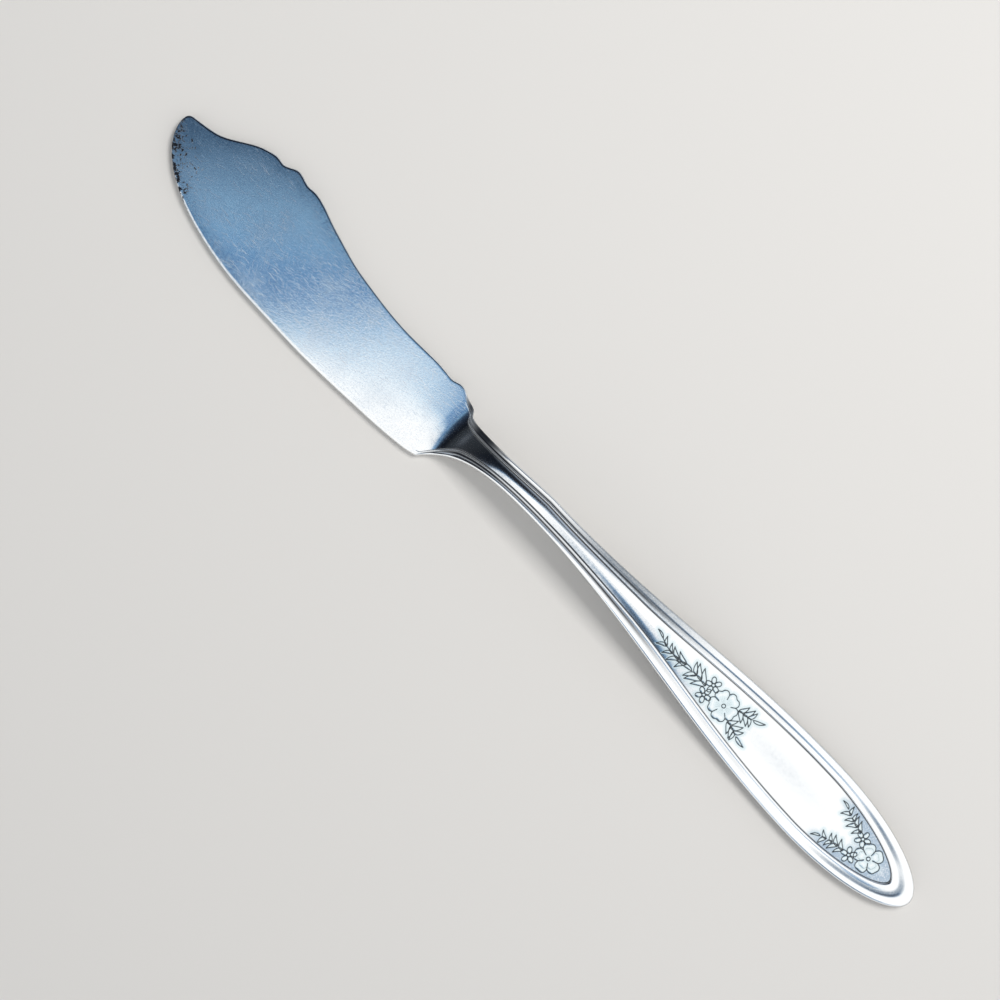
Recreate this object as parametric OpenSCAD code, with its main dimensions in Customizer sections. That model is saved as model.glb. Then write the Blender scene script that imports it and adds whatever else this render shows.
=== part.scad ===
// Master butter knife with a flat, die-struck handle.
// One blank of nickel silver makes blade, neck and handle, and deposited silver covers it all round.
// Lengths are in millimetres. The knife lies on a table along X, blade tip towards -X, spine towards +Y.
// Distances along the knife count from the blade tip, and heights of its outline from the handle's axis.

/* [Blade] */
// Length of the blade from its tip to the heel
blade_l = 69.7; // [60:0.1:80]
// Thickness of the blade at its spine
blade_t = 1.5; // [1.1:0.1:2.2]
// Thickness left at the cutting edge
edge_t = 0.9; // [0.5:0.05:1.2]
// Width of the bevel behind the cutting edge
bevel_w = 0.8; // [0.5:0.1:2]
// Radius of the rounded tip on the spine side
tip_r = 1.3; // [0.8:0.1:2]
// Height of the tip
tip_h = 0.5; // [-1:0.1:1.2]
// Depth of the belly of the cutting edge
belly_d = 12.5; // [10:0.1:15]
// Distance from the tip to the end of the belly's curve
belly_x = 30; // [24:0.5:36]
// Length of the straight run at the belly's full depth
belly_run = 9; // [4:0.5:14]
// Depth of the corner where the cutting edge ends
corner_d = 9.8; // [8:0.1:11]
// Distance from that corner to the heel
corner_x = 1.1; // [0.5:0.1:2]

/* [Spine] */
// Distance from the tip to the hollow behind it
beak_x = 5.9; // [4:0.1:7]
// Height of the hollow behind the tip
beak_h = 2.8; // [2.2:0.1:3.5]
// Distance from the tip to the middle lobe of the crest
crest_x = 20.2; // [18:0.1:23]
// Height of the middle lobe
crest_h = 8.62; // [7.5:0.02:10]
// Spacing of the crest's three lobes
lobe_pitch = 4.3; // [3.5:0.1:5.5]
// Drop from the middle lobe to the lobe in front of it
front_drop = 0.99; // [0.6:0.01:1.5]
// Drop from the middle lobe to the lobe behind it
rear_drop = 0.43; // [0.2:0.01:0.8]
// Depth of the notches beside the outer lobes
notch_d = 0.14; // [0.06:0.02:0.3]
// Distance from the waist, where the spine runs lowest, to the heel
waist_x = 17.7; // [12:0.1:24]
// Height of the waist
waist_h = 3.53; // [2.5:0.01:5]
// Distance from the shoulder lobe to the heel
shoulder_x = 4.3; // [3.5:0.1:5.5]
// Height of the shoulder lobe above the waist
shoulder_h = 0.68; // [0.3:0.02:1.2]

/* [Neck] */
// Distance from the heel to the narrowest place of the neck
neck_x = 20.3; // [15:0.1:26]
// Width of the neck at its narrowest place
neck_w = 4.9; // [4:0.1:7]
// Thickness of the neck
neck_t = 3; // [2.4:0.1:4]
// Distance from the heel to the nape, the low place behind the shoulder
nape_x = 4.4; // [3:0.1:6]
// Height of the nape
nape_h = 1.41; // [0.8:0.01:2]
// Length over which the corner sweeps into the neck
cove_l = 4.4; // [3:0.1:6]
// Height of the underside above the table at the top of the arch
arch_h = 4.6; // [2:0.1:8]
// Length of the rise from the blade to the top of the arch
rise_l = 20; // [15:0.5:28]
// Distance ahead of the heel at which the handle's section starts to grow
roll_x = 2.2; // [1:0.1:4]
// Softness of the roll with which the neck leaves the blade's plane
roll_w = 0.9; // [0.3:0.1:2]

/* [Handle] */
// Length of the handle from the heel to its end
handle_l = 111.3; // [95:0.1:125]
// Width of the handle at its widest place
handle_w = 14.75; // [12:0.05:18]
// Thickness of the handle at its rim
handle_t = 2.1; // [1.6:0.1:3]
// Distance from the widest place to the rounded end
cap_l = 24; // [18:0.5:32]
// Length of handle that lies on the table
rest_l = 26; // [15:1:40]

/* [Mouldings] */
// Width of the moulded border along the broad part of the handle
border_w = 2.45; // [1.8:0.05:3.4]
// Width of the moulded border along the neck
neck_border_w = 1.45; // [1:0.05:1.9]
// Distance from the end of the sunk panel to the end of the handle
panel_gap = 5.1; // [3.5:0.1:8]
// Depth of the sunk panel below the bead
panel_d = 0.35; // [0.1:0.05:0.6]
// Crown of the panel across its width
panel_crown = 0.1; // [0:0.02:0.3]
// Crown of the rib that the panel becomes along the neck
rib_crown = 0.44; // [0.2:0.02:0.9]
// Drop of the inner thread below the bead
thread_drop = 0.08; // [0:0.02:0.2]
// Depth of the groove between thread and bead
groove_d = 0.24; // [0.12:0.02:0.4]
// Rounding of the rim above and below
rim_r = 0.4; // [0.2:0.05:0.6]

/* [Silver plate] */
// Thickness of the deposited silver
plate_t = 0.03; // [0.02:0.01:0.08]

/* [Hidden] */

NICKEL_SILVER = [0.66, 0.62, 0.54];
SILVER = [0.80, 0.82, 0.84];

// Places along the knife, from the tip
knife_l = blade_l + handle_l;
corner_at = blade_l - corner_x;
shoulder_at = blade_l - shoulder_x;
waist_at = blade_l - waist_x;
nape_at = blade_l + nape_x;
neck_at = blade_l + neck_x;
rise_at = blade_l - roll_x;
arch_at = blade_l + rise_l;
wide_at = knife_l - cap_l;
rest_at = knife_l - rest_l;

// Roundness of the panel's end, where 2 is an ellipse and less is more pointed
PANEL_POWER = 1.8;

// Places across the border, from the panel's edge at 0 to the rim at 1, and back under it
THREAD_IN = 0.05;
THREAD_OUT = 0.22;
GROOVE = 0.40;
BEAD_IN = 0.58;
BEAD_TOP = 0.78;
BEAD_OUT = 0.95;
UNDER_EDGE = 0.80;
BAND = [0, THREAD_IN, THREAD_OUT, GROOVE, BEAD_IN, BEAD_TOP, BEAD_OUT, 1, UNDER_EDGE];

// Points of a section: the middle of the panel, one on the panel, those of the border, one under, the keel
PANEL_MID = 0.6;
UNDER_MID = 0.5;
BAND_FROM = 2;
SHOULDER = BAND_FROM + 6;
RIM = BAND_FROM + 7;
KEEL = BAND_FROM + len(BAND) + 1;
RING = 2 * KEEL;

// Numbers of sections in each stretch of the knife
TIP_STEPS = 9;
BEAK_STEPS = 5;
CREST_STEPS = 8;
WAIST_STEPS = 10;
SHOULDER_STEPS = 16;
NECK_STEPS = 10;
HANDLE_STEPS = 14;
CAP_STEPS = 12;

function mix(a, b, k) = a + (b - a) * k;
function share(v) = max(0, min(1, v));
function ease(v) = let (u = share(v)) u * u * (3 - 2 * u);
function glide(v) = let (u = share(v)) u ^ 3 * (10 - 15 * u + 6 * u ^ 2);

// A smooth curve through knots [x, y] that never swings past them
function secant(k, i) = (k[i + 1][1] - k[i][1]) / (k[i + 1][0] - k[i][0]);
function slope(k, i) =
    i == 0 ? secant(k, 0)
    : i == len(k) - 1 ? secant(k, i - 1)
    : let (a = secant(k, i - 1), b = secant(k, i)) a * b <= 0 ? 0 : 2 * a * b / (a + b);
function knot_before(k, x, i = 0) = i >= len(k) - 2 || x < k[i + 1][0] ? i : knot_before(k, x, i + 1);
function curve(k, x) =
    let (i = knot_before(k, x), run = k[i + 1][0] - k[i][0], u = (x - k[i][0]) / run)
    mix(k[i][1], k[i + 1][1], ease(u))
    + run * (slope(k, i) * u * (1 - u) ^ 2 - slope(k, i + 1) * u ^ 2 * (1 - u));

// Half width of the handle, which the neck keeps at its own width as far as the heel
function half_width(x) =
    mix(neck_w, handle_w, (1 - cos(180 * share((x - neck_at) / (wide_at - neck_at)))) / 2) / 2;

// Spine: the rounded tip, the hollow beak, three lobes, the waist, the shoulder lobe and the nape
tip_join = 0.7 * tip_r;
function tip_arc(x) = tip_h + sqrt(max(0, tip_r ^ 2 - (tip_r - x) ^ 2));
function between(a, b, kx, ky) = [mix(a[0], b[0], kx), mix(a[1], b[1], ky)];
function notch(lobe, next) = [mix(lobe[0], next[0], 0.32), lobe[1] - notch_d];
beak = [beak_x, beak_h];
crest = [crest_x, crest_h];
front_lobe = crest - [lobe_pitch, front_drop];
rear_lobe = crest + [lobe_pitch, -rear_drop];
waist = [waist_at, waist_h];
shoulder = [shoulder_at, waist_h + shoulder_h];
nape = [nape_at, nape_h];
ledge = [blade_l, mix(nape_h, shoulder[1], 0.5)];
spine_knots = [
    [tip_join, tip_arc(tip_join)],
    beak,
    between(beak, front_lobe, 0.75, 0.87),
    front_lobe,
    notch(front_lobe, crest),
    crest,
    notch(rear_lobe, crest),
    rear_lobe,
    between(rear_lobe, waist, 0.26, 0.39),
    between(rear_lobe, waist, 0.57, 0.80),
    waist,
    between(waist, shoulder, 0.64, 0.48),
    between(waist, shoulder, 0.84, 0.22),
    shoulder,
    between(shoulder, ledge, 0.6, 0.63),
    ledge,
    between(ledge, nape, 0.22, 0.74),
    between(ledge, nape, 0.6, 0.96),
    nape,
    [neck_at, neck_w / 2],
];
function spine_y(x) = x < tip_join ? tip_arc(x) : x < neck_at ? curve(spine_knots, x) : half_width(x);

// Cutting edge: a quarter ellipse from the tip, a slow rise to the corner, and the cove into the neck
belly_end = [belly_x + belly_run, -belly_d];
corner = [corner_at, -corner_d];
edge_knots = [
    [belly_x, -belly_d],
    belly_end,
    between(belly_end, corner, 0.62, 0.38),
    between(belly_end, corner, 0.92, 0.76),
    corner,
];
function edge_y(x) =
    x < belly_x ? tip_h - (belly_d + tip_h) * sqrt(max(0, 1 - (1 - x / belly_x) ^ 2))
    : x < corner_at ? curve(edge_knots, x)
    : -half_width(x) - (corner_d - neck_w / 2) * exp(-(x - corner_at) / cove_l);

// Side view: height of the underside, thickness at the rim, and the change from blade to handle section
function rolled(x) = roll_w * ln(1 + exp((x - blade_l) / roll_w));
function under_z(x) =
    arch_h * (1 - (1 - share(rolled(x) / rise_l)) ^ 2.3)
    * (1 - glide((x - arch_at) / (rest_at - arch_at)));
function along_handle(x, l) = ease((x - neck_at) / (l * (wide_at - neck_at)));
function rim_t(x) =
    mix(mix(blade_t, neck_t, ease((x - rise_at) / (roll_x + 2.6 * nape_x))), handle_t, along_handle(x, 1));
function handle_share(x) = ease((x - rise_at) / (roll_x + 0.85 * nape_x));

// Border: the bevel along the blade, then narrow along the neck and broad along the handle
function border(x) =
    mix(mix(bevel_w, neck_border_w, handle_share(x)), border_w, along_handle(x, 0.48));
function crown(x) =
    mix(panel_crown, rib_crown, ease((x - rise_at) / (1.6 * rise_l)) * (1 - along_handle(x, 1)));

// Stations in plan, each [middle, panel edge and rim on the spine side, then both on the cutting side]
function inward(from, to, d) = from + (to - from) * min(0.6, d / norm(to - from));
function station(x, fan) =
    let (top = [x, spine_y(x)], low = [x, edge_y(x)], mid = (top + low) / 2 + [fan, 0])
    [mid, inward(top, mid, border(x)), top, inward(low, mid, border(x)), low];
function cap_point(l, w, power, a) = [wide_at + l * cos(a) ^ (2 / power), w * sin(a) ^ (2 / power)];
function flip(p) = [p[0], -p[1]];
function cap_station(a) =
    let (
        rim = cap_point(cap_l, handle_w / 2, 2, a),
        panel = cap_point(cap_l - panel_gap, handle_w / 2 - border_w, PANEL_POWER, a),
        mid = [wide_at + (cap_l - panel_gap - border_w / 2) * cos(a), 0]
    )
    [mid, panel, rim, flip(panel), flip(rim)];
function steps(from, to, n) = [for (i = [1:n]) mix(from, to, i / n)];
fan_l = 2 * tip_r;
tip = [0, tip_h];
tip_mid = tip + [fan_l, 0];
lobes_from = front_lobe[0] - lobe_pitch / 2;
lobes_to = rear_lobe[0] + lobe_pitch / 3;
shoulder_from = shoulder_at - 0.8 * lobe_pitch;
places = concat(
    [for (i = [1:TIP_STEPS]) beak_x * (i / TIP_STEPS) ^ 2],
    steps(beak_x, lobes_from, BEAK_STEPS),
    steps(lobes_from, crest_x, CREST_STEPS),
    steps(crest_x, lobes_to, CREST_STEPS),
    steps(lobes_to, shoulder_from, WAIST_STEPS),
    steps(shoulder_from, nape_at, SHOULDER_STEPS),
    steps(nape_at, neck_at, NECK_STEPS),
    steps(neck_at, wide_at, HANDLE_STEPS)
);
stations = concat(
    [[tip_mid, (tip_mid + tip) / 2, tip, (tip_mid + tip) / 2, tip]],
    [for (x = places) station(x, fan_l * (1 - ease(x / lobes_from)))],
    [for (i = [1:CAP_STEPS]) cap_station(90 * (1 - i / CAP_STEPS))]
);
last = len(stations) - 1;

// Height of point j of a section over the table, on the blade and on the handle
function blade_z(j, cutting) =
    j < BAND_FROM ? blade_t
    : j > RIM ? 0
    : cutting ? mix(blade_t, edge_t, BAND[j - BAND_FROM]) * (j == RIM ? 0.5 : 1)
    : j == RIM ? blade_t / 2
    : j == SHOULDER ? blade_t - rim_r / 8
    : blade_t;
function handle_z(j, x) =
    let (low = under_z(x), top = low + rim_t(x), bed = top - panel_d)
    [
        bed + crown(x),
        bed + crown(x) * (1 - PANEL_MID ^ 2),
        bed,
        top - thread_drop,
        top - thread_drop,
        top - groove_d,
        top - groove_d / 4,
        top,
        top - rim_r / 2,
        low + rim_t(x) / 2,
        low + rim_r / 2,
        low + rim_r / 8,
        low,
    ][j];

// Point j of a section on one side, drawn inside the surface by the inset
function section_point(s, j, cutting, inset) =
    let (
        mid = s[0],
        panel = cutting ? s[3] : s[1],
        rim = inward(cutting ? s[4] : s[2], mid, inset),
        p = j == 0 || j == KEEL ? mid
            : j < BAND_FROM ? mix(mid, panel, PANEL_MID)
            : j > KEEL - 2 ? mix(mid, rim, UNDER_MID)
            : mix(panel, rim, BAND[j - BAND_FROM]),
        z = mix(blade_z(j, cutting), handle_z(j, p[0]), handle_share(p[0]))
    )
    [p[0], p[1], z + inset * sign(j - RIM)];

// The whole form as one skin of sections, closed along a line at the tip and at the handle's end
function half_section(s, inset) = [for (j = [0:KEEL]) section_point(s, j, false, inset)];
function full_section(s, inset) =
    [for (r = [0:RING - 1]) section_point(s, min(r, RING - r), r > KEEL, inset)];
function skin_points(inset) = [
    each half_section(stations[0], inset),
    for (i = [1:last - 1]) each full_section(stations[i], inset),
    each half_section(stations[last], inset),
];
function at(i, r) =
    let (k = r % RING, first = i == 0 ? 0 : KEEL + 1 + RING * (i - 1))
    first + (i == 0 || i == last ? min(k, RING - k) : k);
function quad(i, r) = [at(i, r), at(i, r + 1), at(i + 1, r + 1), at(i + 1, r)];
function halves(q) = [[q[0], q[1], q[2]], [q[0], q[2], q[3]]];
skin_cells = [for (i = [0:last - 1], r = [0:RING - 1]) [i, r]];
function skin_faces(cells) = [for (c = cells) each halves(quad(c[0], c[1]))];

// The knife's form, with its bounding box centred over the origin and its lowest face on the table
low_y = min([for (s = stations) s[4][1]]);
high_y = max([for (s = stations) s[2][1]]);
to_origin = [-knife_l / 2, -(low_y + high_y) / 2, 0];

module nickel_silver_blank() {
    color(NICKEL_SILVER) translate(to_origin)
        polyhedron(skin_points(plate_t), skin_faces(skin_cells));
}

// The deposit: an outer and an inner skin, joined at the small bare mark where the blank hung in the bath
RACK_MARK = [1, RIM];
plated_cells = [for (c = skin_cells) if (c != RACK_MARK) c];
module silver_plate() {
    outer = skin_points(0);
    inner_from = len(outer);
    mark = quad(RACK_MARK[0], RACK_MARK[1]);
    outer_faces = skin_faces(plated_cells);
    inner_faces = [for (f = outer_faces) [for (k = [2:-1:0]) f[k] + inner_from]];
    mark_walls = [
        for (k = [0:3]) let (a = mark[k], b = mark[(k + 1) % 4])
            each halves([a, b, b + inner_from, a + inner_from])
    ];
    color(SILVER) translate(to_origin)
        polyhedron(concat(outer, skin_points(plate_t)), concat(outer_faces, inner_faces, mark_walls));
}

nickel_silver_blank();
silver_plate();
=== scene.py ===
"""Looks of a flat-handled master butter knife: bright silver plate over a struck nickel silver blank.

The plate's skin follows the knife's own section rules at a fine pitch, and sprays of blossoms are struck into
its panel as relief. Sizes are millimetres of the drawing, and the frame says how long one millimetre is.
"""

from __future__ import annotations

import functools
import logging
import math
from dataclasses import dataclass
from enum import Enum
from typing import Any, Iterator

import bpy
import numpy as np
from mathutils import Matrix, Vector


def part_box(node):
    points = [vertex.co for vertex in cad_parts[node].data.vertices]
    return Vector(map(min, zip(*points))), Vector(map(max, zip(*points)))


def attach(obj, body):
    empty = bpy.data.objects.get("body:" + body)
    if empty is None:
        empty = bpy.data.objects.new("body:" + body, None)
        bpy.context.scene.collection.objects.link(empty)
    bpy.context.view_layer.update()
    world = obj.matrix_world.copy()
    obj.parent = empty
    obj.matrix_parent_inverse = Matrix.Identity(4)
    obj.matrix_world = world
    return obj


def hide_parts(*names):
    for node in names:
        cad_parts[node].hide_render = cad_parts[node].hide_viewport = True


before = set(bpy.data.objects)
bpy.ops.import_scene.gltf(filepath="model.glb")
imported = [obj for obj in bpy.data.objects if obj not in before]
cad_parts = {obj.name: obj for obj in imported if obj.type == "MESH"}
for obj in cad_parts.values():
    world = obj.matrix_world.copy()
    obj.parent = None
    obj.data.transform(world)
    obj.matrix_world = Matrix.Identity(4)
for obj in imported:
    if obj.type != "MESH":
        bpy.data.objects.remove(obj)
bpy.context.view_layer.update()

log = logging.getLogger("butter_knife")
Array = np.ndarray
Pair = tuple[float, float]
Knots = list[Pair]
Colour = tuple[float, float, float, float]
Ramp = tuple[float, float, float, float]
Inputs = dict[str, Any] | None
Socket = bpy.types.NodeSocket
Node = bpy.types.Node
Tree = bpy.types.NodeTree
Mesh = bpy.types.Mesh
Object = bpy.types.Object
Material = bpy.types.Material


def mix(a: Any, b: Any, share: Any) -> Any:
    """Goes from a to b as share goes from 0 to 1."""
    return a + (b - a) * share


def most(*values: Any) -> Array:
    """Gives the greatest of some values at each place."""
    return functools.reduce(np.maximum, values)


def ease(value: Any) -> Array:
    """Goes from 0 to 1 with level ends as value does."""
    u = np.clip(value, 0.0, 1.0)
    return u * u * (3 - 2 * u)


def glide(value: Any) -> Array:
    """Goes from 0 to 1 as value does, with ends that are level and straight."""
    u = np.clip(value, 0.0, 1.0)
    return u**3 * (10 - 15 * u + 6 * u**2)


def rounded(value: float, power: float) -> float:
    """Gives the height of a rounded corner, which is 1 at 0 and 0 at 1."""
    return (1 - value**power) ** (1 / power)


def smooth_curve(knots: Knots, x: Array) -> Array:
    """Runs a smooth curve through knots without swinging past them.

    Args:
        knots: Places and heights, in rising order of place.
        x: Places to read.

    Returns:
        The height of the curve at each place.
    """
    places, heights = np.array(knots, float).T
    runs = np.diff(places)
    secants = np.diff(heights) / runs
    before, after = secants[:-1], secants[1:]
    level = before * after <= 0
    slopes = np.concatenate([secants[:1], np.zeros(len(before)), secants[-1:]])
    slopes[1:-1] = np.where(level, 0.0, 2 * before * after / np.where(level, 1.0, before + after))
    i = np.clip(np.searchsorted(places, x, side="right") - 1, 0, len(runs) - 1)
    u = (x - places[i]) / runs[i]
    bend = slopes[i] * u * (1 - u) ** 2 - slopes[i + 1] * u**2 * (1 - u)
    return mix(heights[i], heights[i + 1], ease(u)) + runs[i] * bend


def between(a: Pair, b: Pair, kx: float, ky: float) -> Pair:
    """Gives the knot at share kx of the way and share ky of the height from a to b."""
    return (mix(a[0], b[0], kx), mix(a[1], b[1], ky))


@dataclass(frozen=True)
class Fade:
    """A smooth change from 0 to 1.

    Attributes:
        at: Place where it is 0.
        run: Way from there to where it is 1, with its sign.
    """

    at: float
    run: float

    def __call__(self, place: Any) -> Array:
        """Reads the change at a place."""
        return ease((place - self.at) / self.run)


@dataclass(frozen=True)
class Spot:
    """A soft spot.

    Attributes:
        at: Its middle, where it is 1.
        reach: Distance from there at which it is about a third.
        power: 2 for a soft top and 4 for a broad one.
    """

    at: float
    reach: float
    power: int = 2

    def __call__(self, place: Any) -> Array:
        """Reads the spot at a place."""
        return np.exp(-(((place - self.at) / self.reach) ** self.power))


@dataclass(frozen=True)
class Patch:
    """A patch of wear.

    Attributes:
        strength: Its strength where it is strongest.
        along: How it fades along the knife.
        across: How it fades across the knife.
    """

    strength: float
    along: Fade | Spot
    across: Fade | Spot

    def __call__(self, along: Any, across: Any) -> Array:
        """Reads the patch at a place along the knife and across it."""
        return self.strength * self.along(along) * self.across(across)


class Side(Enum):
    """The two sides of a section, with the index of their panel edge in a station."""

    SPINE = 1
    CUTTING = 3


class Zone(Enum):
    """The three stretches of a section's side, from its middle over the rim to its keel."""

    PANEL = "panel"
    BORDER = "border"
    UNDER = "under"


@dataclass(frozen=True)
class Column:
    """One lengthwise line of the skin.

    Attributes:
        side: Which side of the section it runs on.
        zone: Which stretch of that side.
        share: Place within the stretch, in plan, from 0 to 1.
        level: Height over the rim's mid-line as a share of half the thickness, where the rim is round.
    """

    side: Side
    zone: Zone
    share: float
    level: float = 1.0


@dataclass(frozen=True)
class KnifeForm:
    """Sizes of the knife in millimetres, and the curves that follow from them.

    Distances along the knife count from the blade tip, and heights of its outline from the handle's axis.
    Fades and spots count from the place that is taken away where they are read. The curves take places along
    the knife as x and places across it as y, and give one size at each place.
    """

    blade_l: float = 69.7
    blade_t: float = 1.5
    edge_t: float = 0.9
    bevel_w: float = 0.8
    spine_round: float = 0.14
    swell_h: float = 0.29
    swell_l: float = 19.7
    swell_across: Fade = Fade(0.0, 11.0)
    swell_end: Fade = Fade(0.0, 12.0)
    lip_h: float = 0.022
    lip_along: Fade = Fade(-0.2, 1.6)
    lip_across: Fade = Fade(-8.8, 4.0)
    fall_h: float = 0.03
    fall_w: float = 5.0
    fall_along: Fade = Fade(4.0, 18.0)
    tip_r: float = 1.3
    tip_h: float = 0.5
    belly_d: float = 12.5
    belly_x: float = 30.0
    belly_run: float = 9.0
    corner_d: float = 9.8
    corner_x: float = 1.1
    beak_x: float = 5.9
    beak_h: float = 2.8
    crest_x: float = 20.2
    crest_h: float = 8.62
    lobe_pitch: float = 4.3
    front_drop: float = 0.99
    rear_drop: float = 0.43
    notch_d: float = 0.14
    waist_x: float = 17.7
    waist_h: float = 3.53
    shoulder_x: float = 4.3
    shoulder_h: float = 0.68
    neck_x: float = 20.3
    neck_w: float = 4.9
    neck_t: float = 3.0
    neck_rise: float = 2.6
    heel_rise: float = 0.85
    rib_rise: float = 1.6
    nape_x: float = 4.4
    nape_h: float = 1.41
    cove_l: float = 5.4
    arch_h: float = 4.6
    arch_power: float = 2.3
    rise_l: float = 20.0
    roll_x: float = 2.2
    roll_w: float = 0.9
    handle_l: float = 111.3
    handle_w: float = 14.75
    handle_t: float = 2.1
    cap_l: float = 24.0
    rest_l: float = 26.0
    border_w: float = 2.45
    neck_border_w: float = 1.45
    border_run: float = 0.48
    flare_share: float = 0.4
    flare_spot: Spot = Spot(3.5, 5.0)
    panel_gap: float = 5.1
    panel_d: float = 0.35
    panel_crown: float = 0.1
    rib_crown: float = 0.44
    panel_power: float = 1.8
    thread_drop: float = 0.08
    thread_round: float = 0.05
    groove_d: float = 0.24
    groove_run: float = 0.7
    groove_end: Fade = Fade(5.0, 14.0)
    bead_top: float = 0.78
    bead_drop: float = 0.24
    bead_start: Fade = Fade(0.0, 3.0)
    bead_end: Fade = Fade(14.0, 10.0)
    plate_t: float = 0.03

    @property
    def knife_l(self) -> float:
        """Overall length."""
        return self.blade_l + self.handle_l

    @property
    def tip_join(self) -> float:
        """Place where the tip's arc meets the spine's curve."""
        return 0.7 * self.tip_r

    @property
    def corner_at(self) -> float:
        """Place of the corner where the cutting edge ends."""
        return self.blade_l - self.corner_x

    @property
    def nape_at(self) -> float:
        """Place of the low spot behind the shoulder."""
        return self.blade_l + self.nape_x

    @property
    def neck_at(self) -> float:
        """Place where the neck is narrowest."""
        return self.blade_l + self.neck_x

    @property
    def rise_at(self) -> float:
        """Place where the handle's section starts to grow."""
        return self.blade_l - self.roll_x

    @property
    def wide_at(self) -> float:
        """Place where the handle is widest."""
        return self.knife_l - self.cap_l

    @property
    def lobes_from(self) -> float:
        """Place where the crest's lobes begin."""
        return self.crest_x - 1.5 * self.lobe_pitch

    @property
    def lobes_to(self) -> float:
        """Place where the crest's lobes end."""
        return self.crest_x + 1.33 * self.lobe_pitch

    @property
    def shoulder_from(self) -> float:
        """Place where the shoulder lobe begins."""
        return self.blade_l - self.shoulder_x - 0.8 * self.lobe_pitch

    def half_width(self, x: Array) -> Array:
        """Half width of the handle."""
        turn = np.pi * np.clip((x - self.neck_at) / (self.wide_at - self.neck_at), 0, 1)
        return mix(self.neck_w, self.handle_w, (1 - np.cos(turn)) / 2) / 2

    def spine_knots(self) -> Knots:
        """Lays out the spine's knots.

        Returns:
            Knots from the rounded tip over the lobes, waist and shoulder to the neck.
        """
        beak = (self.beak_x, self.beak_h)
        crest = (self.crest_x, self.crest_h)
        front = (self.crest_x - self.lobe_pitch, self.crest_h - self.front_drop)
        rear = (self.crest_x + self.lobe_pitch, self.crest_h - self.rear_drop)
        waist = (self.blade_l - self.waist_x, self.waist_h)
        shoulder = (self.blade_l - self.shoulder_x, self.waist_h + self.shoulder_h)
        nape = (self.nape_at, self.nape_h)
        ledge = (self.blade_l, mix(self.nape_h, shoulder[1], 0.5))
        return [
            (self.tip_join, self.tip_arc(self.tip_join)),
            beak,
            between(beak, front, 0.75, 0.87),
            front,
            (mix(front[0], crest[0], 0.32), front[1] - self.notch_d),
            crest,
            (mix(rear[0], crest[0], 0.32), rear[1] - self.notch_d),
            rear,
            between(rear, waist, 0.26, 0.39),
            between(rear, waist, 0.57, 0.80),
            waist,
            between(waist, shoulder, 0.64, 0.48),
            between(waist, shoulder, 0.84, 0.22),
            shoulder,
            between(shoulder, ledge, 0.6, 0.63),
            ledge,
            between(ledge, nape, 0.22, 0.74),
            between(ledge, nape, 0.6, 0.96),
            nape,
            (self.neck_at, self.neck_w / 2),
        ]

    def tip_arc(self, x: Any) -> Any:
        """Height of the rounded tip on the spine side."""
        return self.tip_h + np.sqrt(np.maximum(0, self.tip_r**2 - (self.tip_r - x) ** 2))

    def spine_y(self, x: Array) -> Array:
        """Gives the side of the blade's spine and of the handle behind it.

        Args:
            x: Distances from the tip.

        Returns:
            Places across the knife, from the handle's axis.
        """
        along = smooth_curve(self.spine_knots(), x)
        ahead = np.where(x < self.tip_join, self.tip_arc(x), along)
        return np.where(x < self.neck_at, ahead, self.half_width(x))

    def edge_y(self, x: Array) -> Array:
        """Gives the side of the cutting edge, of the cove behind it and of the handle.

        Args:
            x: Distances from the tip.

        Returns:
            Places across the knife, from the handle's axis.
        """
        round_share = np.sqrt(np.maximum(0, 1 - (1 - x / self.belly_x) ** 2))
        belly = self.tip_h - (self.belly_d + self.tip_h) * round_share
        belly_end = (self.belly_x + self.belly_run, -self.belly_d)
        corner = (self.corner_at, -self.corner_d)
        knots = [
            (self.belly_x, -self.belly_d),
            belly_end,
            between(belly_end, corner, 0.62, 0.38),
            between(belly_end, corner, 0.92, 0.76),
            corner,
        ]
        fall = np.exp(-np.maximum(0, x - self.corner_at) / self.cove_l)
        cove = -self.half_width(x) - (self.corner_d - self.neck_w / 2) * fall
        behind = np.where(x < self.corner_at, smooth_curve(knots, x), cove)
        return np.where(x < self.belly_x, belly, behind)

    def swell(self, x: Array, y: Array) -> Array:
        """Gives the rise of the upper face where the blade grows into the neck.

        Args:
            x: Distances from the tip.
            y: Places across the knife.

        Returns:
            Rises, which are least along the cutting edge.
        """
        heel = x - self.blade_l
        along = np.clip(1 + heel / self.swell_l, 0.0, 1.0)
        grown = self.swell_h * along**3 * self.swell_across(y + self.belly_d)
        lip = self.lip_h * self.lip_along(x - self.rise_at) * self.lip_across(y)
        return (grown + lip) * (1 - self.swell_end(heel))

    def face_z(self, x: Array, y: Array) -> Array:
        """Height of the blade's face before its swell, which falls a little towards the edge."""
        near = np.clip(1 - (y - self.edge_y(x)) / self.fall_w, 0.0, 1.0)
        return self.blade_t - self.fall_h * near**2 * self.fall_along(x - self.belly_x)

    def under_z(self, x: Array) -> Array:
        """Gives the height of the underside.

        Args:
            x: Distances from the tip.

        Returns:
            Heights over the table.
        """
        arch_at = self.blade_l + self.rise_l
        rest_at = self.knife_l - self.rest_l
        fall = glide((x - arch_at) / (rest_at - arch_at))
        rolled = self.roll_w * np.log1p(np.exp((x - self.blade_l) / self.roll_w))
        up = np.clip(rolled / self.rise_l, 0.0, 1.0)
        return self.arch_h * (1 - (1 - up) ** self.arch_power) * (1 - fall)

    def along_handle(self, x: Array, share: float) -> Array:
        """Goes from 0 at the neck to 1 at a share of the way to the widest place."""
        return ease((x - self.neck_at) / (share * (self.wide_at - self.neck_at)))

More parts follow.
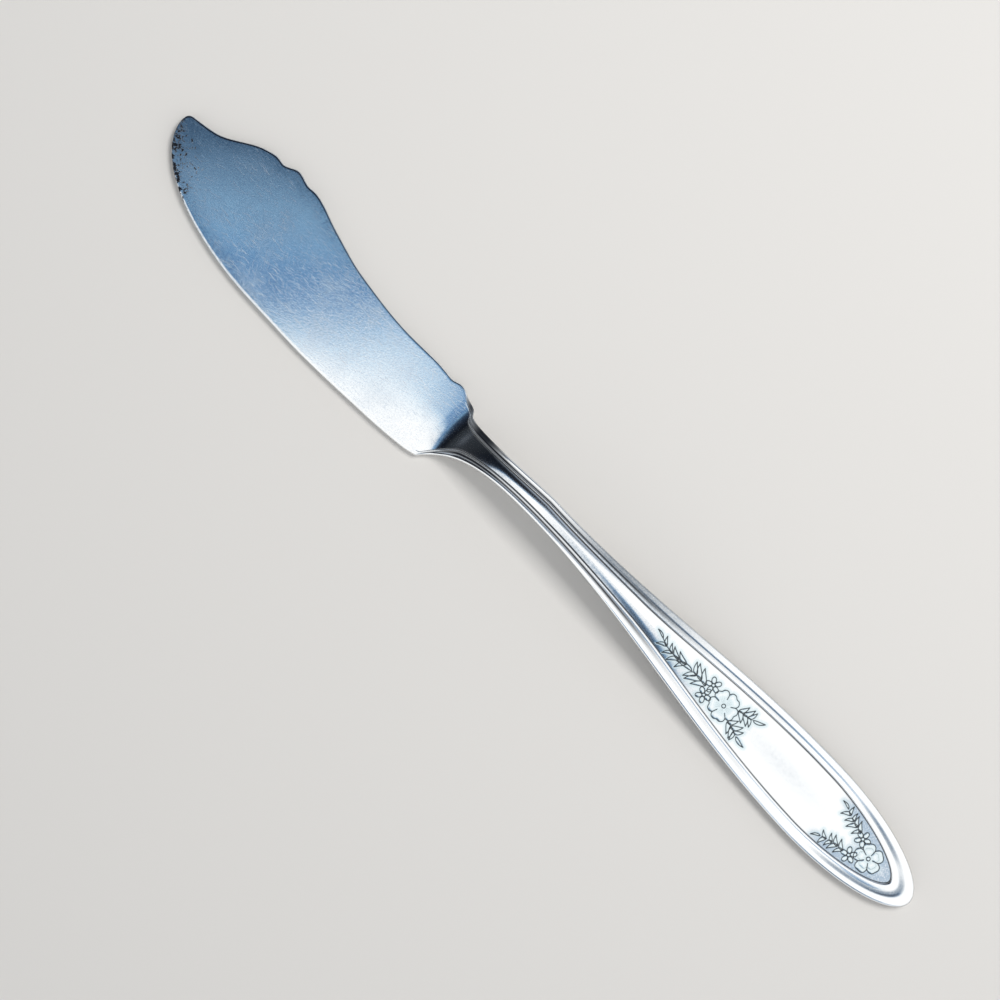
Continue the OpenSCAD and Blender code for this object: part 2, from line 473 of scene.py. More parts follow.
    def rim_t(self, x: Array) -> Array:
        """Thickness at the rim."""
        neck = ease((x - self.rise_at) / (self.roll_x + self.neck_rise * self.nape_x))
        return mix(mix(self.blade_t, self.neck_t, neck), self.handle_t, self.along_handle(x, 1.0))

    def handle_share(self, x: Array) -> Array:
        """Goes from 0 on the blade to 1 on the handle."""
        return ease((x - self.rise_at) / (self.roll_x + self.heel_rise * self.nape_x))

    def border(self, x: Array) -> Array:
        """Width of the bevel along the blade and of the moulded border along the handle."""
        narrow = mix(self.bevel_w, self.neck_border_w, self.handle_share(x))
        return mix(narrow, self.border_w, self.along_handle(x, self.border_run))

    def flare(self, x: Array) -> Array:
        """How much broader the cutting side's border is where it sweeps into the heel."""
        return 1 + self.flare_share * self.flare_spot(x - self.blade_l)

    def bead_fall(self, x: Array) -> Array:
        """How far the cutting side's bead is rounded off outwards along the neck's root."""
        heel = x - self.blade_l
        return self.bead_drop * self.bead_start(heel) * (1 - self.bead_end(heel))

    def crown(self, x: Array) -> Array:
        """Crown of the panel, and of the rib that it becomes along the neck."""
        rib = ease((x - self.rise_at) / (self.rib_rise * self.rise_l)) * (1 - self.along_handle(x, 1.0))
        return mix(self.panel_crown, self.rib_crown, rib)

    def groove_share(self, x: Array) -> Array:
        """Goes from 1 along the neck to 0 where the handle is broad, and back to 1 at its end."""
        return 1 - self.along_handle(x, self.groove_run) + self.groove_end(x - self.wide_at)

    def moulding(self, share: float, x: Array) -> Array:
        """Height of the moulded border below its bead.

        Args:
            share: Share of the border's width, from the panel to the bead's top.
            x: Places along the knife.

        Returns:
            The height at each place.
        """
        thread, groove = -self.thread_drop, -self.groove_d
        lower = thread - self.thread_round
        inner = [(0.0, -self.panel_d), (0.05, lower), (0.13, thread), (0.24, lower)]
        narrow = [(0.34, 0.58 * groove), (0.56, groove / 10)]
        broad = [(0.40, groove), (0.60, groove / 4)]
        fine, wide = (
            smooth_curve([*inner, *outer, (self.bead_top, 0.0)], np.array([share]))[0]
            for outer in (narrow, broad)
        )
        return mix(fine, wide, self.groove_share(x))


@dataclass(frozen=True)
class Placing:
    """Where the drawing lies in the frame.

    Attributes:
        mm: Length of one millimetre of the drawing, in metres.
        tip: Place of the point on the axis at the blade tip's end, on the table.
    """

    mm: float
    tip: Vector

    @classmethod
    def on_frame(cls, form: KnifeForm) -> Placing:
        """Measures the frame's silver plate and lays the drawing on it.

        Args:
            form: The knife's sizes.

        Returns:
            Where the drawing lies.
        """
        low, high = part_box("silver_plate")
        mm = (high.x - low.x) / form.knife_l
        return cls(mm, Vector((low.x, low.y + form.belly_d * mm, low.z)))

    def point(self, x: float, y: float, z: float = 0.0) -> Vector:
        """Takes a point of the drawing into the frame."""
        return self.tip + Vector((x, y, z)) * self.mm

    def points(self, drawn: Array) -> Array:
        """Takes many points of the drawing into the frame."""
        return drawn * self.mm + np.array(self.tip)


class Value:
    """A node's output, which a new Math node takes in wherever it is calculated with."""

    def __init__(self, wiring: Wiring, socket: Socket) -> None:
        """Keeps the socket and the wiring that new nodes go into."""
        self.wiring = wiring
        self.socket = socket

    def __add__(self, other: Any) -> Value:
        """Adds a number or an output."""
        return self.wiring.math("ADD", self, other)

    def __sub__(self, other: Any) -> Value:
        """Takes a number or an output away."""
        return self.wiring.math("SUBTRACT", self, other)

    def __rsub__(self, other: float) -> Value:
        """Takes this output away from a number."""
        return self.wiring.math("SUBTRACT", other, self)

    def __mul__(self, other: Any) -> Value:
        """Multiplies by a number or an output."""
        return self.wiring.math("MULTIPLY", self, other)

    def __truediv__(self, other: Any) -> Value:
        """Divides by a number or an output."""
        return self.wiring.math("DIVIDE", self, other)

    def __rtruediv__(self, other: float) -> Value:
        """Divides a number by this output."""
        return self.wiring.math("DIVIDE", other, self)

    def __pow__(self, other: Any) -> Value:
        """Raises to a power."""
        return self.wiring.math("POWER", self, other)


class Wiring:
    """Adds nodes to one node tree and links their sockets."""

    def __init__(self, tree: Tree) -> None:
        """Keeps the tree that the nodes go into."""
        self.tree = tree

    def feed(self, socket: Socket, value: Any) -> None:
        """Links a socket to an output, or sets its value.

        Args:
            socket: The input socket.
            value: The output, or the value.
        """
        if isinstance(value, Value):
            self.tree.links.new(value.socket, socket)
        else:
            socket.default_value = value

    def node(self, kind: str, inputs: Inputs = None, **settings: Any) -> Node:
        """Adds a node.

        Args:
            kind: The node's type.
            inputs: What each input gets, by the socket's identifier.
            settings: The node's own properties.

        Returns:
            The new node.
        """
        node = self.tree.nodes.new(kind)
        for name, value in settings.items():
            setattr(node, name, value)
        sockets = {socket.identifier: socket for socket in node.inputs}
        for name, value in (inputs or {}).items():
            self.feed(sockets[name], value)
        return node

    def outputs(self, node: Node) -> dict[str, Value]:
        """Gives a node's outputs by name."""
        return {socket.name: Value(self, socket) for socket in node.outputs}

    def add(self, kind: str, inputs: Inputs = None, give: int | str = 0, **settings: Any) -> Value:
        """Adds a node of that kind and returns the output with that number or name."""
        return Value(self, self.node(kind, inputs, **settings).outputs[give])

    def group(self, tree: Tree, **values: float) -> dict[str, Value]:
        """Adds a shader group.

        Args:
            tree: The group.
            values: Values of its inputs, by name.

        Returns:
            Its outputs, by name.
        """
        node = self.node("ShaderNodeGroup", node_tree=tree)
        for name, value in values.items():
            node.inputs[name].default_value = value
        return self.outputs(node)

    def attribute(self, name: str) -> Value:
        """Adds an Attribute node and returns its number."""
        return self.add("ShaderNodeAttribute", give="Fac", attribute_name=name)

    def math(self, operation: str, *values: Any) -> Value:
        """Adds a Math node.

        Args:
            operation: What it calculates.
            values: The numbers or outputs that it calculates with.

        Returns:
            Its result.
        """
        node = self.node("ShaderNodeMath", operation=operation)
        for socket, value in zip(node.inputs, values):
            self.feed(socket, value)
        return Value(self, node.outputs[0])

    def most(self, *values: Any) -> Value:
        """Adds Math nodes that give the greatest of some values."""
        return functools.reduce(functools.partial(self.math, "MAXIMUM"), values)

    def ramp(self, value: Value, low: Any, high: Any, start: float = 0.0, end: float = 1.0) -> Value:
        """Adds a smooth Map Range node and returns its result.

        Args:
            value: What is mapped.
            low: Value at which the result is start.
            high: Value at which the result is end.
            start: Result at the low value.
            end: Result at the high value.

        Returns:
            The result.
        """
        inputs = {"Value": value, "From Min": low, "From Max": high, "To Min": start, "To Max": end}
        return self.add("ShaderNodeMapRange", inputs, "Result", interpolation_type="SMOOTHSTEP")

    def blend(self, share: Value, a: Any, b: Any) -> Value:
        """Adds a colour Mix node and returns its result."""
        inputs = {"Factor_Float": share, "A_Color": a, "B_Color": b}
        return self.add("ShaderNodeMix", inputs, 2, data_type="RGBA")

    def vectors(self, operation: str, a: Value, b: Any, give: int | str = 0) -> Value:
        """Adds a Vector Math node and returns its result."""
        return self.add("ShaderNodeVectorMath", {"Vector": a, "Vector_001": b}, give, operation=operation)

    def split(self, vector: Value) -> list[Value]:
        """Adds a Separate XYZ node and returns its three results."""
        return list(self.outputs(self.node("ShaderNodeSeparateXYZ", {"Vector": vector})).values())

    def join(self, x: Any, y: Any, z: Any) -> Value:
        """Adds a Combine XYZ node and returns its vector."""
        return self.add("ShaderNodeCombineXYZ", {"X": x, "Y": y, "Z": z})

    def position(self) -> list[Value]:
        """Adds a Position node and returns its three parts."""
        return self.split(self.add("GeometryNodeInputPosition"))

    def disc(self, vertices: int, radius: Any = 1.0) -> Value:
        """Adds a filled Mesh Circle."""
        return self.add("GeometryNodeMeshCircle", {"Vertices": vertices, "Radius": radius}, fill_type="NGON")

    def move(self, geometry: Value, x: Any, y: Any, z: Any) -> Value:
        """Adds a Set Position node that takes a geometry's points to a place."""
        return self.add("GeometryNodeSetPosition", {"Geometry": geometry, "Position": self.join(x, y, z)})

    def turn(self, angle: Value) -> Value:
        """Adds a rotation about Z."""
        return self.add("FunctionNodeEulerToRotation", {"Euler": self.join(0.0, 0.0, angle)})

    def chance(self, low: float, high: float, seed: int) -> Value:
        """Gives each point a number from a fixed row of random ones."""
        inputs = {"Min_001": low, "Max_001": high, "Seed": seed}
        return self.add("FunctionNodeRandomValue", inputs, 1, data_type="FLOAT")

    def hand_out(self, geometry: Value, material: Any, out: Node) -> None:
        """Realizes a geometry, sets its material and feeds the group's output.

        Args:
            geometry: The geometry.
            material: The material, or the output that brings it.
            out: The group's output node.
        """
        real = self.add("GeometryNodeRealizeInstances", {"Geometry": geometry})
        dressed = self.add("GeometryNodeSetMaterial", {"Geometry": real, "Material": material})
        self.feed(out.inputs[0], dressed)


Sockets = dict[str, tuple[str, Any]]
Group = tuple[Wiring, dict[str, Value], Node]
GEOMETRY = ("NodeSocketGeometry", None)
COUNT = ("NodeSocketInt", 5)
NUMBER = ("NodeSocketFloat", 1.0)
PLACE = ("NodeSocketVector", (0.0, 0.0, 0.0))


def new_group(name: str, kind: str, inputs: Sockets, outputs: Sockets) -> Group:
    """Makes an empty node group with named sockets.

    Args:
        name: The group's name.
        kind: The type of node tree.
        inputs: Socket type and default value of each input.
        outputs: Socket type of each output.

    Returns:
        The wiring of the group, what comes in by name, and its output node.
    """
    tree = bpy.data.node_groups.new(name, kind)
    for in_out, sockets in (("INPUT", inputs), ("OUTPUT", outputs)):
        for label, (socket_type, default) in sockets.items():
            socket = tree.interface.new_socket(label, in_out=in_out, socket_type=socket_type)
            if default is not None:
                socket.default_value = default
    wiring = Wiring(tree)
    return wiring, wiring.outputs(wiring.node("NodeGroupInput")), wiring.node("NodeGroupOutput")


def new_lines(name: str, inputs: Sockets) -> Group:
    """Makes an empty Geometry Nodes group with those inputs, which hands out a geometry."""
    return new_group(name, "GeometryNodeTree", inputs, {"Geometry": GEOMETRY})


def run_tree(source: Object, tree: Tree, values: dict[str, Any]) -> Mesh:
    """Runs a Geometry Nodes tree on an object and returns the plain mesh it makes.

    Args:
        source: Object that carries the tree for the moment.
        tree: The tree.
        values: Values by name, of which the tree takes those that its inputs bear.

    Returns:
        The evaluated mesh.
    """
    modifier = source.modifiers.new(tree.name, "NODES")
    modifier.node_group = tree
    for socket in tree.interface.items_tree:
        if socket.in_out == "INPUT" and socket.name in values:
            modifier[socket.identifier] = values[socket.name]
    graph = bpy.context.evaluated_depsgraph_get()
    mesh = bpy.data.meshes.new_from_object(source.evaluated_get(graph), depsgraph=graph)
    source.modifiers.remove(modifier)
    return mesh


def new_object(name: str, data: Any) -> Object:
    """Adds an object to the scene.

    Args:
        name: The object's name.
        data: Its mesh, camera or light.

    Returns:
        The object.
    """
    obj = bpy.data.objects.new(name, data)
    bpy.context.scene.collection.objects.link(obj)
    return obj


def new_material(name: str) -> tuple[Material, Wiring, Any]:
    """Makes a material.

    Args:
        name: The material's name.

    Returns:
        The material, its wiring and the inputs of its shader.
    """
    material = bpy.data.materials.new(name)
    material.use_nodes = True
    return material, Wiring(material.node_tree), material.node_tree.nodes["Principled BSDF"].inputs


class LineTrees:
    """Geometry Nodes trees that draw the motifs of a spray as outlines with filled petals and leaves.

    Attributes:
        OUTLINE_POINTS: Points round a large blossom.
        LEAF_POINTS: Points round a small petal or a leaf, and along a stem.
        EYE_POINTS: Points round a large blossom's eye and a small one's.
        NOTCH_SHARE: Share of a petal's half width that its notch takes.
        VEIN_FROM: Where veins begin, in radii of the eye.
        VEIN_TURNS: Turns of a petal's veins, as shares of the pitch.
        LEAF_POWER: How slowly a leaf widens from its root.
        SPLAY_CHANCE: Least and greatest share of the splay that a leaf takes.
        SIZE_CHANCE: Least and greatest share of the size that a leaf takes.
        SIZE_SEED: What is added to a leaf's seed for its size.
        LAST_LEAF: How much longer and how much slimmer the leaf at the tip is.
    """

    OUTLINE_POINTS = 180
    LEAF_POINTS = 24
    EYE_POINTS = (20, 16)
    NOTCH_SHARE = 0.36
    VEIN_FROM = 1.8
    VEIN_TURNS = (-0.2, 0.0, 0.2)
    LEAF_POWER = 1.3
    SPLAY_CHANCE = (0.7, 1.3)
    SIZE_CHANCE = (0.85, 1.15)
    SIZE_SEED = 20
    LAST_LEAF = (1.3, 0.8)

    def __init__(self, material: Material) -> None:
        """Builds each tree once.

        Args:
            material: Any material, for the motifs to bear.
        """
        self.material = material
        self.blossom = self.blossom_tree()
        self.floret = self.floret_tree()
        self.sprig = self.sprig_tree()

    def close(self, wiring: Wiring, out: Node, parts: list[Value]) -> Tree:
        """Joins a motif's parts and hands them out.

        Args:
            wiring: The tree to add to.
            out: The tree's output node.
            parts: The geometries to join.

        Returns:
            The finished tree.
        """
        joined = wiring.node("GeometryNodeJoinGeometry")
        for part in reversed(parts):
            wiring.feed(joined.inputs[0], part)
        wiring.hand_out(Value(wiring, joined.outputs[0]), self.material, out)
        return wiring.tree

    def spin(self, wiring: Wiring, part: Value, count: Value, offset: float = 0.0) -> Value:
        """Repeats a part about the middle.

        Args:
            wiring: The tree to add to.
            part: Geometry that points along X.
            count: Number of copies.
            offset: Turn of the first copy, as a share of the pitch.

        Returns:
            The copies.
        """
        dots = wiring.add("GeometryNodeMeshLine", {"Count": count, "Offset": (0.0, 0.0, 0.0)})
        angle = (wiring.add("GeometryNodeInputIndex") + offset) * (2 * math.pi / count)
        inputs = {"Points": dots, "Instance": part, "Rotation": wiring.turn(angle)}
        return wiring.add("GeometryNodeInstanceOnPoints", inputs)

    def ray(self, wiring: Wiring, start: Value, length: Value, lift: Any) -> Value:
        """Draws one straight line along X, which strikes more faintly the higher it is lifted."""
        ends = {"Start Location": wiring.join(start, 0.0, lift), "Offset": wiring.join(length, 0.0, 0.0)}
        return wiring.add("GeometryNodeMeshLine", {"Count": 2, **ends})

    def blossom_tree(self) -> Tree:
        """Builds the tree of a large blossom.

        Returns:
            The tree, which draws its outline, fold and eye, and the lines between and in its petals.
        """
        sizes = ("Reach", "Cleft", "Roundness", "Notch", "Fold", "Seam", "Eye", "Vein", "Faint")
        wiring, take, out = new_lines("blossom_lines", {"Petals": COUNT, **dict.fromkeys(sizes, NUMBER)})
        x, y, _ = wiring.position()
        petal = wiring.math("ARCTAN2", y, x) * (0.5 / math.pi) * take["Petals"] + 0.5
        aside = wiring.math("ABSOLUTE", wiring.math("FRACT", petal) - 0.5) * 2.0
        dent = wiring.ramp(aside, 0.0, self.NOTCH_SHARE, 1.0, 0.0) * take["Notch"]
        radius = (1.0 - aside ** take["Roundness"] * take["Cleft"]) * take["Reach"] - dent
        disc = wiring.disc(self.OUTLINE_POINTS)
        parts = []
        for scale, lift in ((1.0, 0.0), (take["Fold"], take["Faint"])):
            reach = radius * scale
            parts.append(wiring.move(disc, x * reach, y * reach, lift))
        parts.append(wiring.disc(self.EYE_POINTS[0], take["Eye"]))
        corner = (1.0 - take["Cleft"]) * take["Reach"]
        root = corner * take["Seam"]
        seam = self.ray(wiring, root, corner - root, 0.0)
        parts.append(self.spin(wiring, seam, take["Petals"], 0.5))
        vein = self.ray(wiring, take["Eye"] * self.VEIN_FROM, take["Vein"], take["Faint"])
        parts += [self.spin(wiring, vein, take["Petals"], offset) for offset in self.VEIN_TURNS]
        return self.close(wiring, out, parts)

    def floret_tree(self) -> Tree:
        """Builds the tree of a small blossom.

        Returns:
            The tree, which draws separate petals about an eye.
        """
        sizes = ("Reach", "Breadth", "Eye")
        wiring, take, out = new_lines("floret_lines", {"Petals": COUNT, **dict.fromkeys(sizes, NUMBER)})
        along, across, _ = wiring.position()
        half = (take["Reach"] - take["Eye"]) * 0.5
        run = along * half + (take["Eye"] + half)
        petal = wiring.move(wiring.disc(self.LEAF_POINTS), run, across * take["Breadth"], 0.0)
        eye = wiring.disc(self.EYE_POINTS[1], take["Eye"])
        return self.close(wiring, out, [self.spin(wiring, petal, take["Petals"]), eye])

    def sprig_tree(self) -> Tree:
        """Builds the tree of a sprig.

        Returns:
            The tree, which draws a bent stem with leaves in pairs.
        """
        bends = ("Start", "Middle", "End")
        sizes = ("Leaf Length", "Leaf Breadth", "Splay", "Taper", "Curl", "Faint")
        inputs = {"Leaves": COUNT, **dict.fromkeys(bends, PLACE), **dict.fromkeys(sizes, NUMBER)}
        wiring, take, out = new_lines("sprig_lines", inputs)
        inputs = {"Resolution": self.LEAF_POINTS, **{bend: take[bend] for bend in bends}}
        stem = wiring.add("GeometryNodeCurveQuadraticBezier", inputs)
        drawn = wiring.add("GeometryNodeCurveToMesh", {"Curve": stem})
        inputs = {"Geometry": drawn, "Translation": wiring.join(0.0, 0.0, take["Faint"])}
        parts = [wiring.add("GeometryNodeTransform", inputs)]
        inputs = {"Curve": stem, "Count": take["Leaves"]}
        dots = wiring.outputs(wiring.node("GeometryNodeCurveToPoints", inputs, mode="COUNT"))
        along, across, _ = wiring.position()
        grown = along * 0.5 + 0.5
        # A leaf bows back at first and forwards at its tip
        swing = grown**3.0 * 1.5 + grown * -0.5
        curl = swing * (take["Leaf Breadth"] * take["Curl"])
        wide = across * wiring.math("ABSOLUTE", across) * take["Leaf Breadth"]
        run = grown**self.LEAF_POWER * take["Leaf Length"]
        leaf = wiring.move(wiring.disc(self.LEAF_POINTS), run, wide + curl, 0.0)
        ahead, aside, _ = wiring.split(dots["Tangent"])
        heading = wiring.math("ARCTAN2", aside, ahead)
        index = wiring.add("GeometryNodeInputIndex")
        last = take["Leaves"] - 1.0
        scale = 1.0 - index / last * take["Taper"]
        at_end = wiring.math("COMPARE", index, last, 0.1)
        before = wiring.math("LESS_THAN", index, last)
        for seed, side, kept in ((3, 1.0, before), (8, -1.0, before), (5, 0.0, at_end)):
            angle = take["Splay"] * wiring.chance(*self.SPLAY_CHANCE, seed) * side + heading
            size = scale * wiring.chance(*self.SIZE_CHANCE, seed + self.SIZE_SEED)
            longer, slimmer = (1.0, side) if side else self.LAST_LEAF
            inputs = {
                "Points": dots["Points"],
                "Selection": kept,
                "Instance": leaf,
                "Rotation": wiring.turn(angle),
                "Scale": wiring.join(size * longer, size * slimmer, size),
            }
            parts.append(wiring.add("GeometryNodeInstanceOnPoints", inputs))
        return self.close(wiring, out, parts)


class Motif:
    """A part of a spray. Its sizes bear the names of its tree's inputs."""

    def values(self) -> dict[str, Any]:
        """Gives the sizes by the names of the tree's inputs, with places raised to three numbers."""
        named = {name.replace("_", " ").title(): value for name, value in vars(self).items()}
        return {name: (*value, 0.0) if isinstance(value, tuple) else value for name, value in named.items()}


@dataclass(frozen=True)
class Blossom(Motif):
    """A large blossom of a spray, in millimetres about the spray's own middle.

    Attributes:
        turn: Turn of its first petal, in degrees.
        reach: Radius of the petals' outer ends.
        cleft: Depth of the clefts between petals, as a share of the reach.
        roundness: How broad the petals stay towards their clefts.
        notch: Depth of the notch in a petal's end.
        fold: Size of the fold in the petals, as a share of their outline.
        seam: Share of the way to a cleft at which the line between two petals begins.
        vein: Length of the veins.
        eye: Radius of the eye.
        faint: How much fainter than the outline folds and veins are.
        petals: Number of petals.
    """

    turn: float
    reach: float
    cleft: float
    roundness: float
    notch: float
    fold: float
    seam: float
    vein: float
    eye: float = 0.34
    faint: float = 0.1
    petals: int = 5

    def draw(self, trees: LineTrees, carrier: Object) -> Mesh:
        """Draws the blossom about the spray's middle.

        Args:
            trees: The trees of all motifs.
            carrier: The object that a tree runs on.

        Returns:
            The drawn mesh.
        """
        mesh = run_tree(carrier, trees.blossom, self.values())
        mesh.transform(Matrix.Rotation(math.radians(self.turn), 4, "Z"))
        return mesh


@dataclass(frozen=True)
class Floret(Motif):
    """A small blossom of a spray, in millimetres.

    Attributes:
        at: Its middle, from the spray's own middle.
        turn: Turn of its first petal, in degrees.
        reach: Radius of the petals' outer ends.
        breadth: Half width of a petal.
        eye: Radius of the eye.
        petals: Number of petals.
    """

    at: Pair
    turn: float
    reach: float = 1.44
    breadth: float = 0.4
    eye: float = 0.3
    petals: int = 5

    def draw(self, trees: LineTrees, carrier: Object) -> Mesh:
        """Draws the floret about the spray's middle.

        Args:
            trees: The trees of all motifs.
            carrier: The object that a tree runs on.

        Returns:
            The drawn mesh.
        """
        mesh = run_tree(carrier, trees.floret, self.values())
        turn = Matrix.Rotation(math.radians(self.turn), 4, "Z")
        mesh.transform(Matrix.Translation((*self.at, 0.0)) @ turn)
        return mesh


@dataclass(frozen=True)
class Sprig(Motif):
    """A leafy stem of a spray, in millimetres from the spray's own middle.

    Attributes:
        start: Root of the stem.
        middle: Point that bends the stem.
        end: Tip of the stem.
        leaves: Number of places with leaves, a pair at each and one leaf at the tip.
        leaf_length: Length of a leaf at the root.
        leaf_breadth: Half width of a leaf at the root.
        splay: Angle between leaf and stem, in degrees.
        taper: Share of its size that the last leaf lacks.
        curl: How far a leaf's tip bends outwards, in half widths.
        faint: Height that the stem is lifted by, so that it strikes more faintly.
    """

    start: Pair
    middle: Pair
    end: Pair
    leaves: int
    leaf_length: float
    leaf_breadth: float
    splay: float
    taper: float
    curl: float
    faint: float = 0.09

    def draw(self, trees: LineTrees, carrier: Object) -> Mesh:
        """Draws the sprig about the spray's middle."""
        return run_tree(carrier, trees.sprig, {**self.values(), "Splay": math.radians(self.splay)})


@dataclass(frozen=True)
class Spray:
    """A group of blossoms and sprigs.

    Attributes:
        at: Place of the spray's middle along the knife and across it.
        motifs: Its blossoms and leafy stems.
    """

    at: Pair
    motifs: tuple[Blossom | Floret | Sprig, ...]

    def meshes(self, trees: LineTrees, carrier: Object) -> Iterator[Mesh]:
        """Draws each motif where it lies along the knife.

        Args:
            trees: The trees that draw motifs.
            carrier: Object that carries a tree for the moment.

        Yields:
            The mesh of each motif.
        """
        for motif in self.motifs:
            mesh = motif.draw(trees, carrier)
            mesh.transform(Matrix.Translation((*self.at, 0.0)))
            yield mesh


def neck_spray(at: Pair) -> Spray:
    """Draws up the spray towards the neck.

    Args:
        at: Its middle along the knife and across it.

    Returns:
        A large blossom, two florets, and leaves both ways along the axis.
    """
    blossom = Blossom(0.0, 2.72, 0.24, 5.0, 0.2, 0.0, 0.6, 0.75)
    florets = (Floret((-3.8, 1.1), 57.0), Floret((-3.75, -1.2), 9.0))
    fan = Sprig((-4.7, 0.1), (-6.4, 0.3), (-8.2, 0.1), 4, 2.8, 0.44, 27.0, 0.15, 1.4)
    tendril = Sprig((-9.6, 0.2), (-13.0, -0.9), (-15.6, 0.3), 5, 2.3, 0.34, 22.0, 0.35, 1.8, 0.03)
    tails = tuple(
        Sprig((2.4, side * 1.35), (3.8, side * 1.5), (5.3, side * 2.0), 4, 2.0, 0.38, 33.0, 0.15, 1.4)
        for side in (1, -1)
    )
    return Spray(at, (blossom, *florets, fan, tendril, *tails))


def end_spray(at: Pair) -> Spray:
    """Draws up the spray in the panel's end.

    Args:
        at: Its middle along the knife and across it.

    Returns:
        A large blossom, two florets, and a leafy stem along each margin.
    """
    blossom = Blossom(-15.0, 2.62, 0.36, 3.6, 0.06, 0.7, 0.45, 0.0, faint=0.09)
    florets = (Floret((-3.05, 1.6), 20.0), Floret((-2.75, -2.0), -20.0))
    trails = tuple(
        Sprig((-4.0, side * 2.2), (-6.2, side * 2.3), (-8.4, side * 3.3), 5, 1.8, 0.32, 28.0, 0.2, 2.0)
        for side in (1, -1)
    )
    return Spray(at, (blossom, *florets, *trails))


@dataclass(frozen=True)
class Strike:
    """How deep the die struck the sprays, in millimetres.

    Attributes:
        line_width: Half width of a struck line.
        line_depth: Depth of a struck line.
        petal_rise: Height of petals and leaves over the panel.
        dome_width: Distance from its line over which a petal rises.
        CORE_SHARE: Share of a line's half width that is at full depth.
    """

    CORE_SHARE = 0.25
    line_width: float = 0.16
    line_depth: float = 0.04
    petal_rise: float = 0.03
    dome_width: float = 0.5

    def tree(self) -> Tree:
        """Builds the tree that strikes the sprays.

        Returns:
            The tree, which sinks lines into the panel, lifts petals and leaves, and stores where both are.
        """
        sizes = ("Line Width", "Line Depth", "Petal Rise", "Dome Width", "Millimetre")
        inputs = {"Geometry": GEOMETRY, "Drawing": ("NodeSocketObject", None), **dict.fromkeys(sizes, NUMBER)}
        wiring, take, out = new_lines("struck_sprays", {**inputs, "Material": ("NodeSocketMaterial", None)})
        lines = wiring.add("GeometryNodeObjectInfo", {"Object": take["Drawing"]}, "Geometry")
        x, y, _ = wiring.position()
        aim = {"Target": lines, "Source Position": wiring.join(x, y, 0.0)}
        edge = wiring.add("GeometryNodeProximity", aim, "Distance", target_element="EDGES")
        face = wiring.add("GeometryNodeProximity", aim, "Distance", target_element="FACES")
        core = take["Line Width"] * self.CORE_SHARE
        line = wiring.ramp(edge, core, take["Line Width"], 1.0, 0.0)
        inside = wiring.ramp(face, 0.0, core, 1.0, 0.0)
        dome = wiring.ramp(edge, core, take["Dome Width"])
        panel = wiring.add("GeometryNodeInputNamedAttribute", {"Name": "panel"}, data_type="FLOAT")
        shift = (inside * dome * take["Petal Rise"] - line * take["Line Depth"]) * panel
        away = edge / take["Millimetre"] + (1.0 - panel)
        skin = take["Geometry"]
        for name, value in (("line_away", away), ("raised", inside)):
            inputs = {"Geometry": skin, "Name": name, "Value": value}
            skin = wiring.add("GeometryNodeStoreNamedAttribute", inputs, data_type="FLOAT", domain="POINT")
        struck = {"Geometry": skin, "Offset": wiring.join(0.0, 0.0, shift)}
        wiring.hand_out(wiring.add("GeometryNodeSetPosition", struck), take["Material"], out)
        return wiring.tree

    def values(self, placing: Placing, drawing: Object, material: Material) -> dict[str, Any]:
        """Gives the tree's inputs in the frame's metres."""
        sizes = {name.replace("_", " ").title(): size * placing.mm for name, size in vars(self).items()}
        return {**sizes, "Drawing": drawing, "Millimetre": placing.mm, "Material": material}


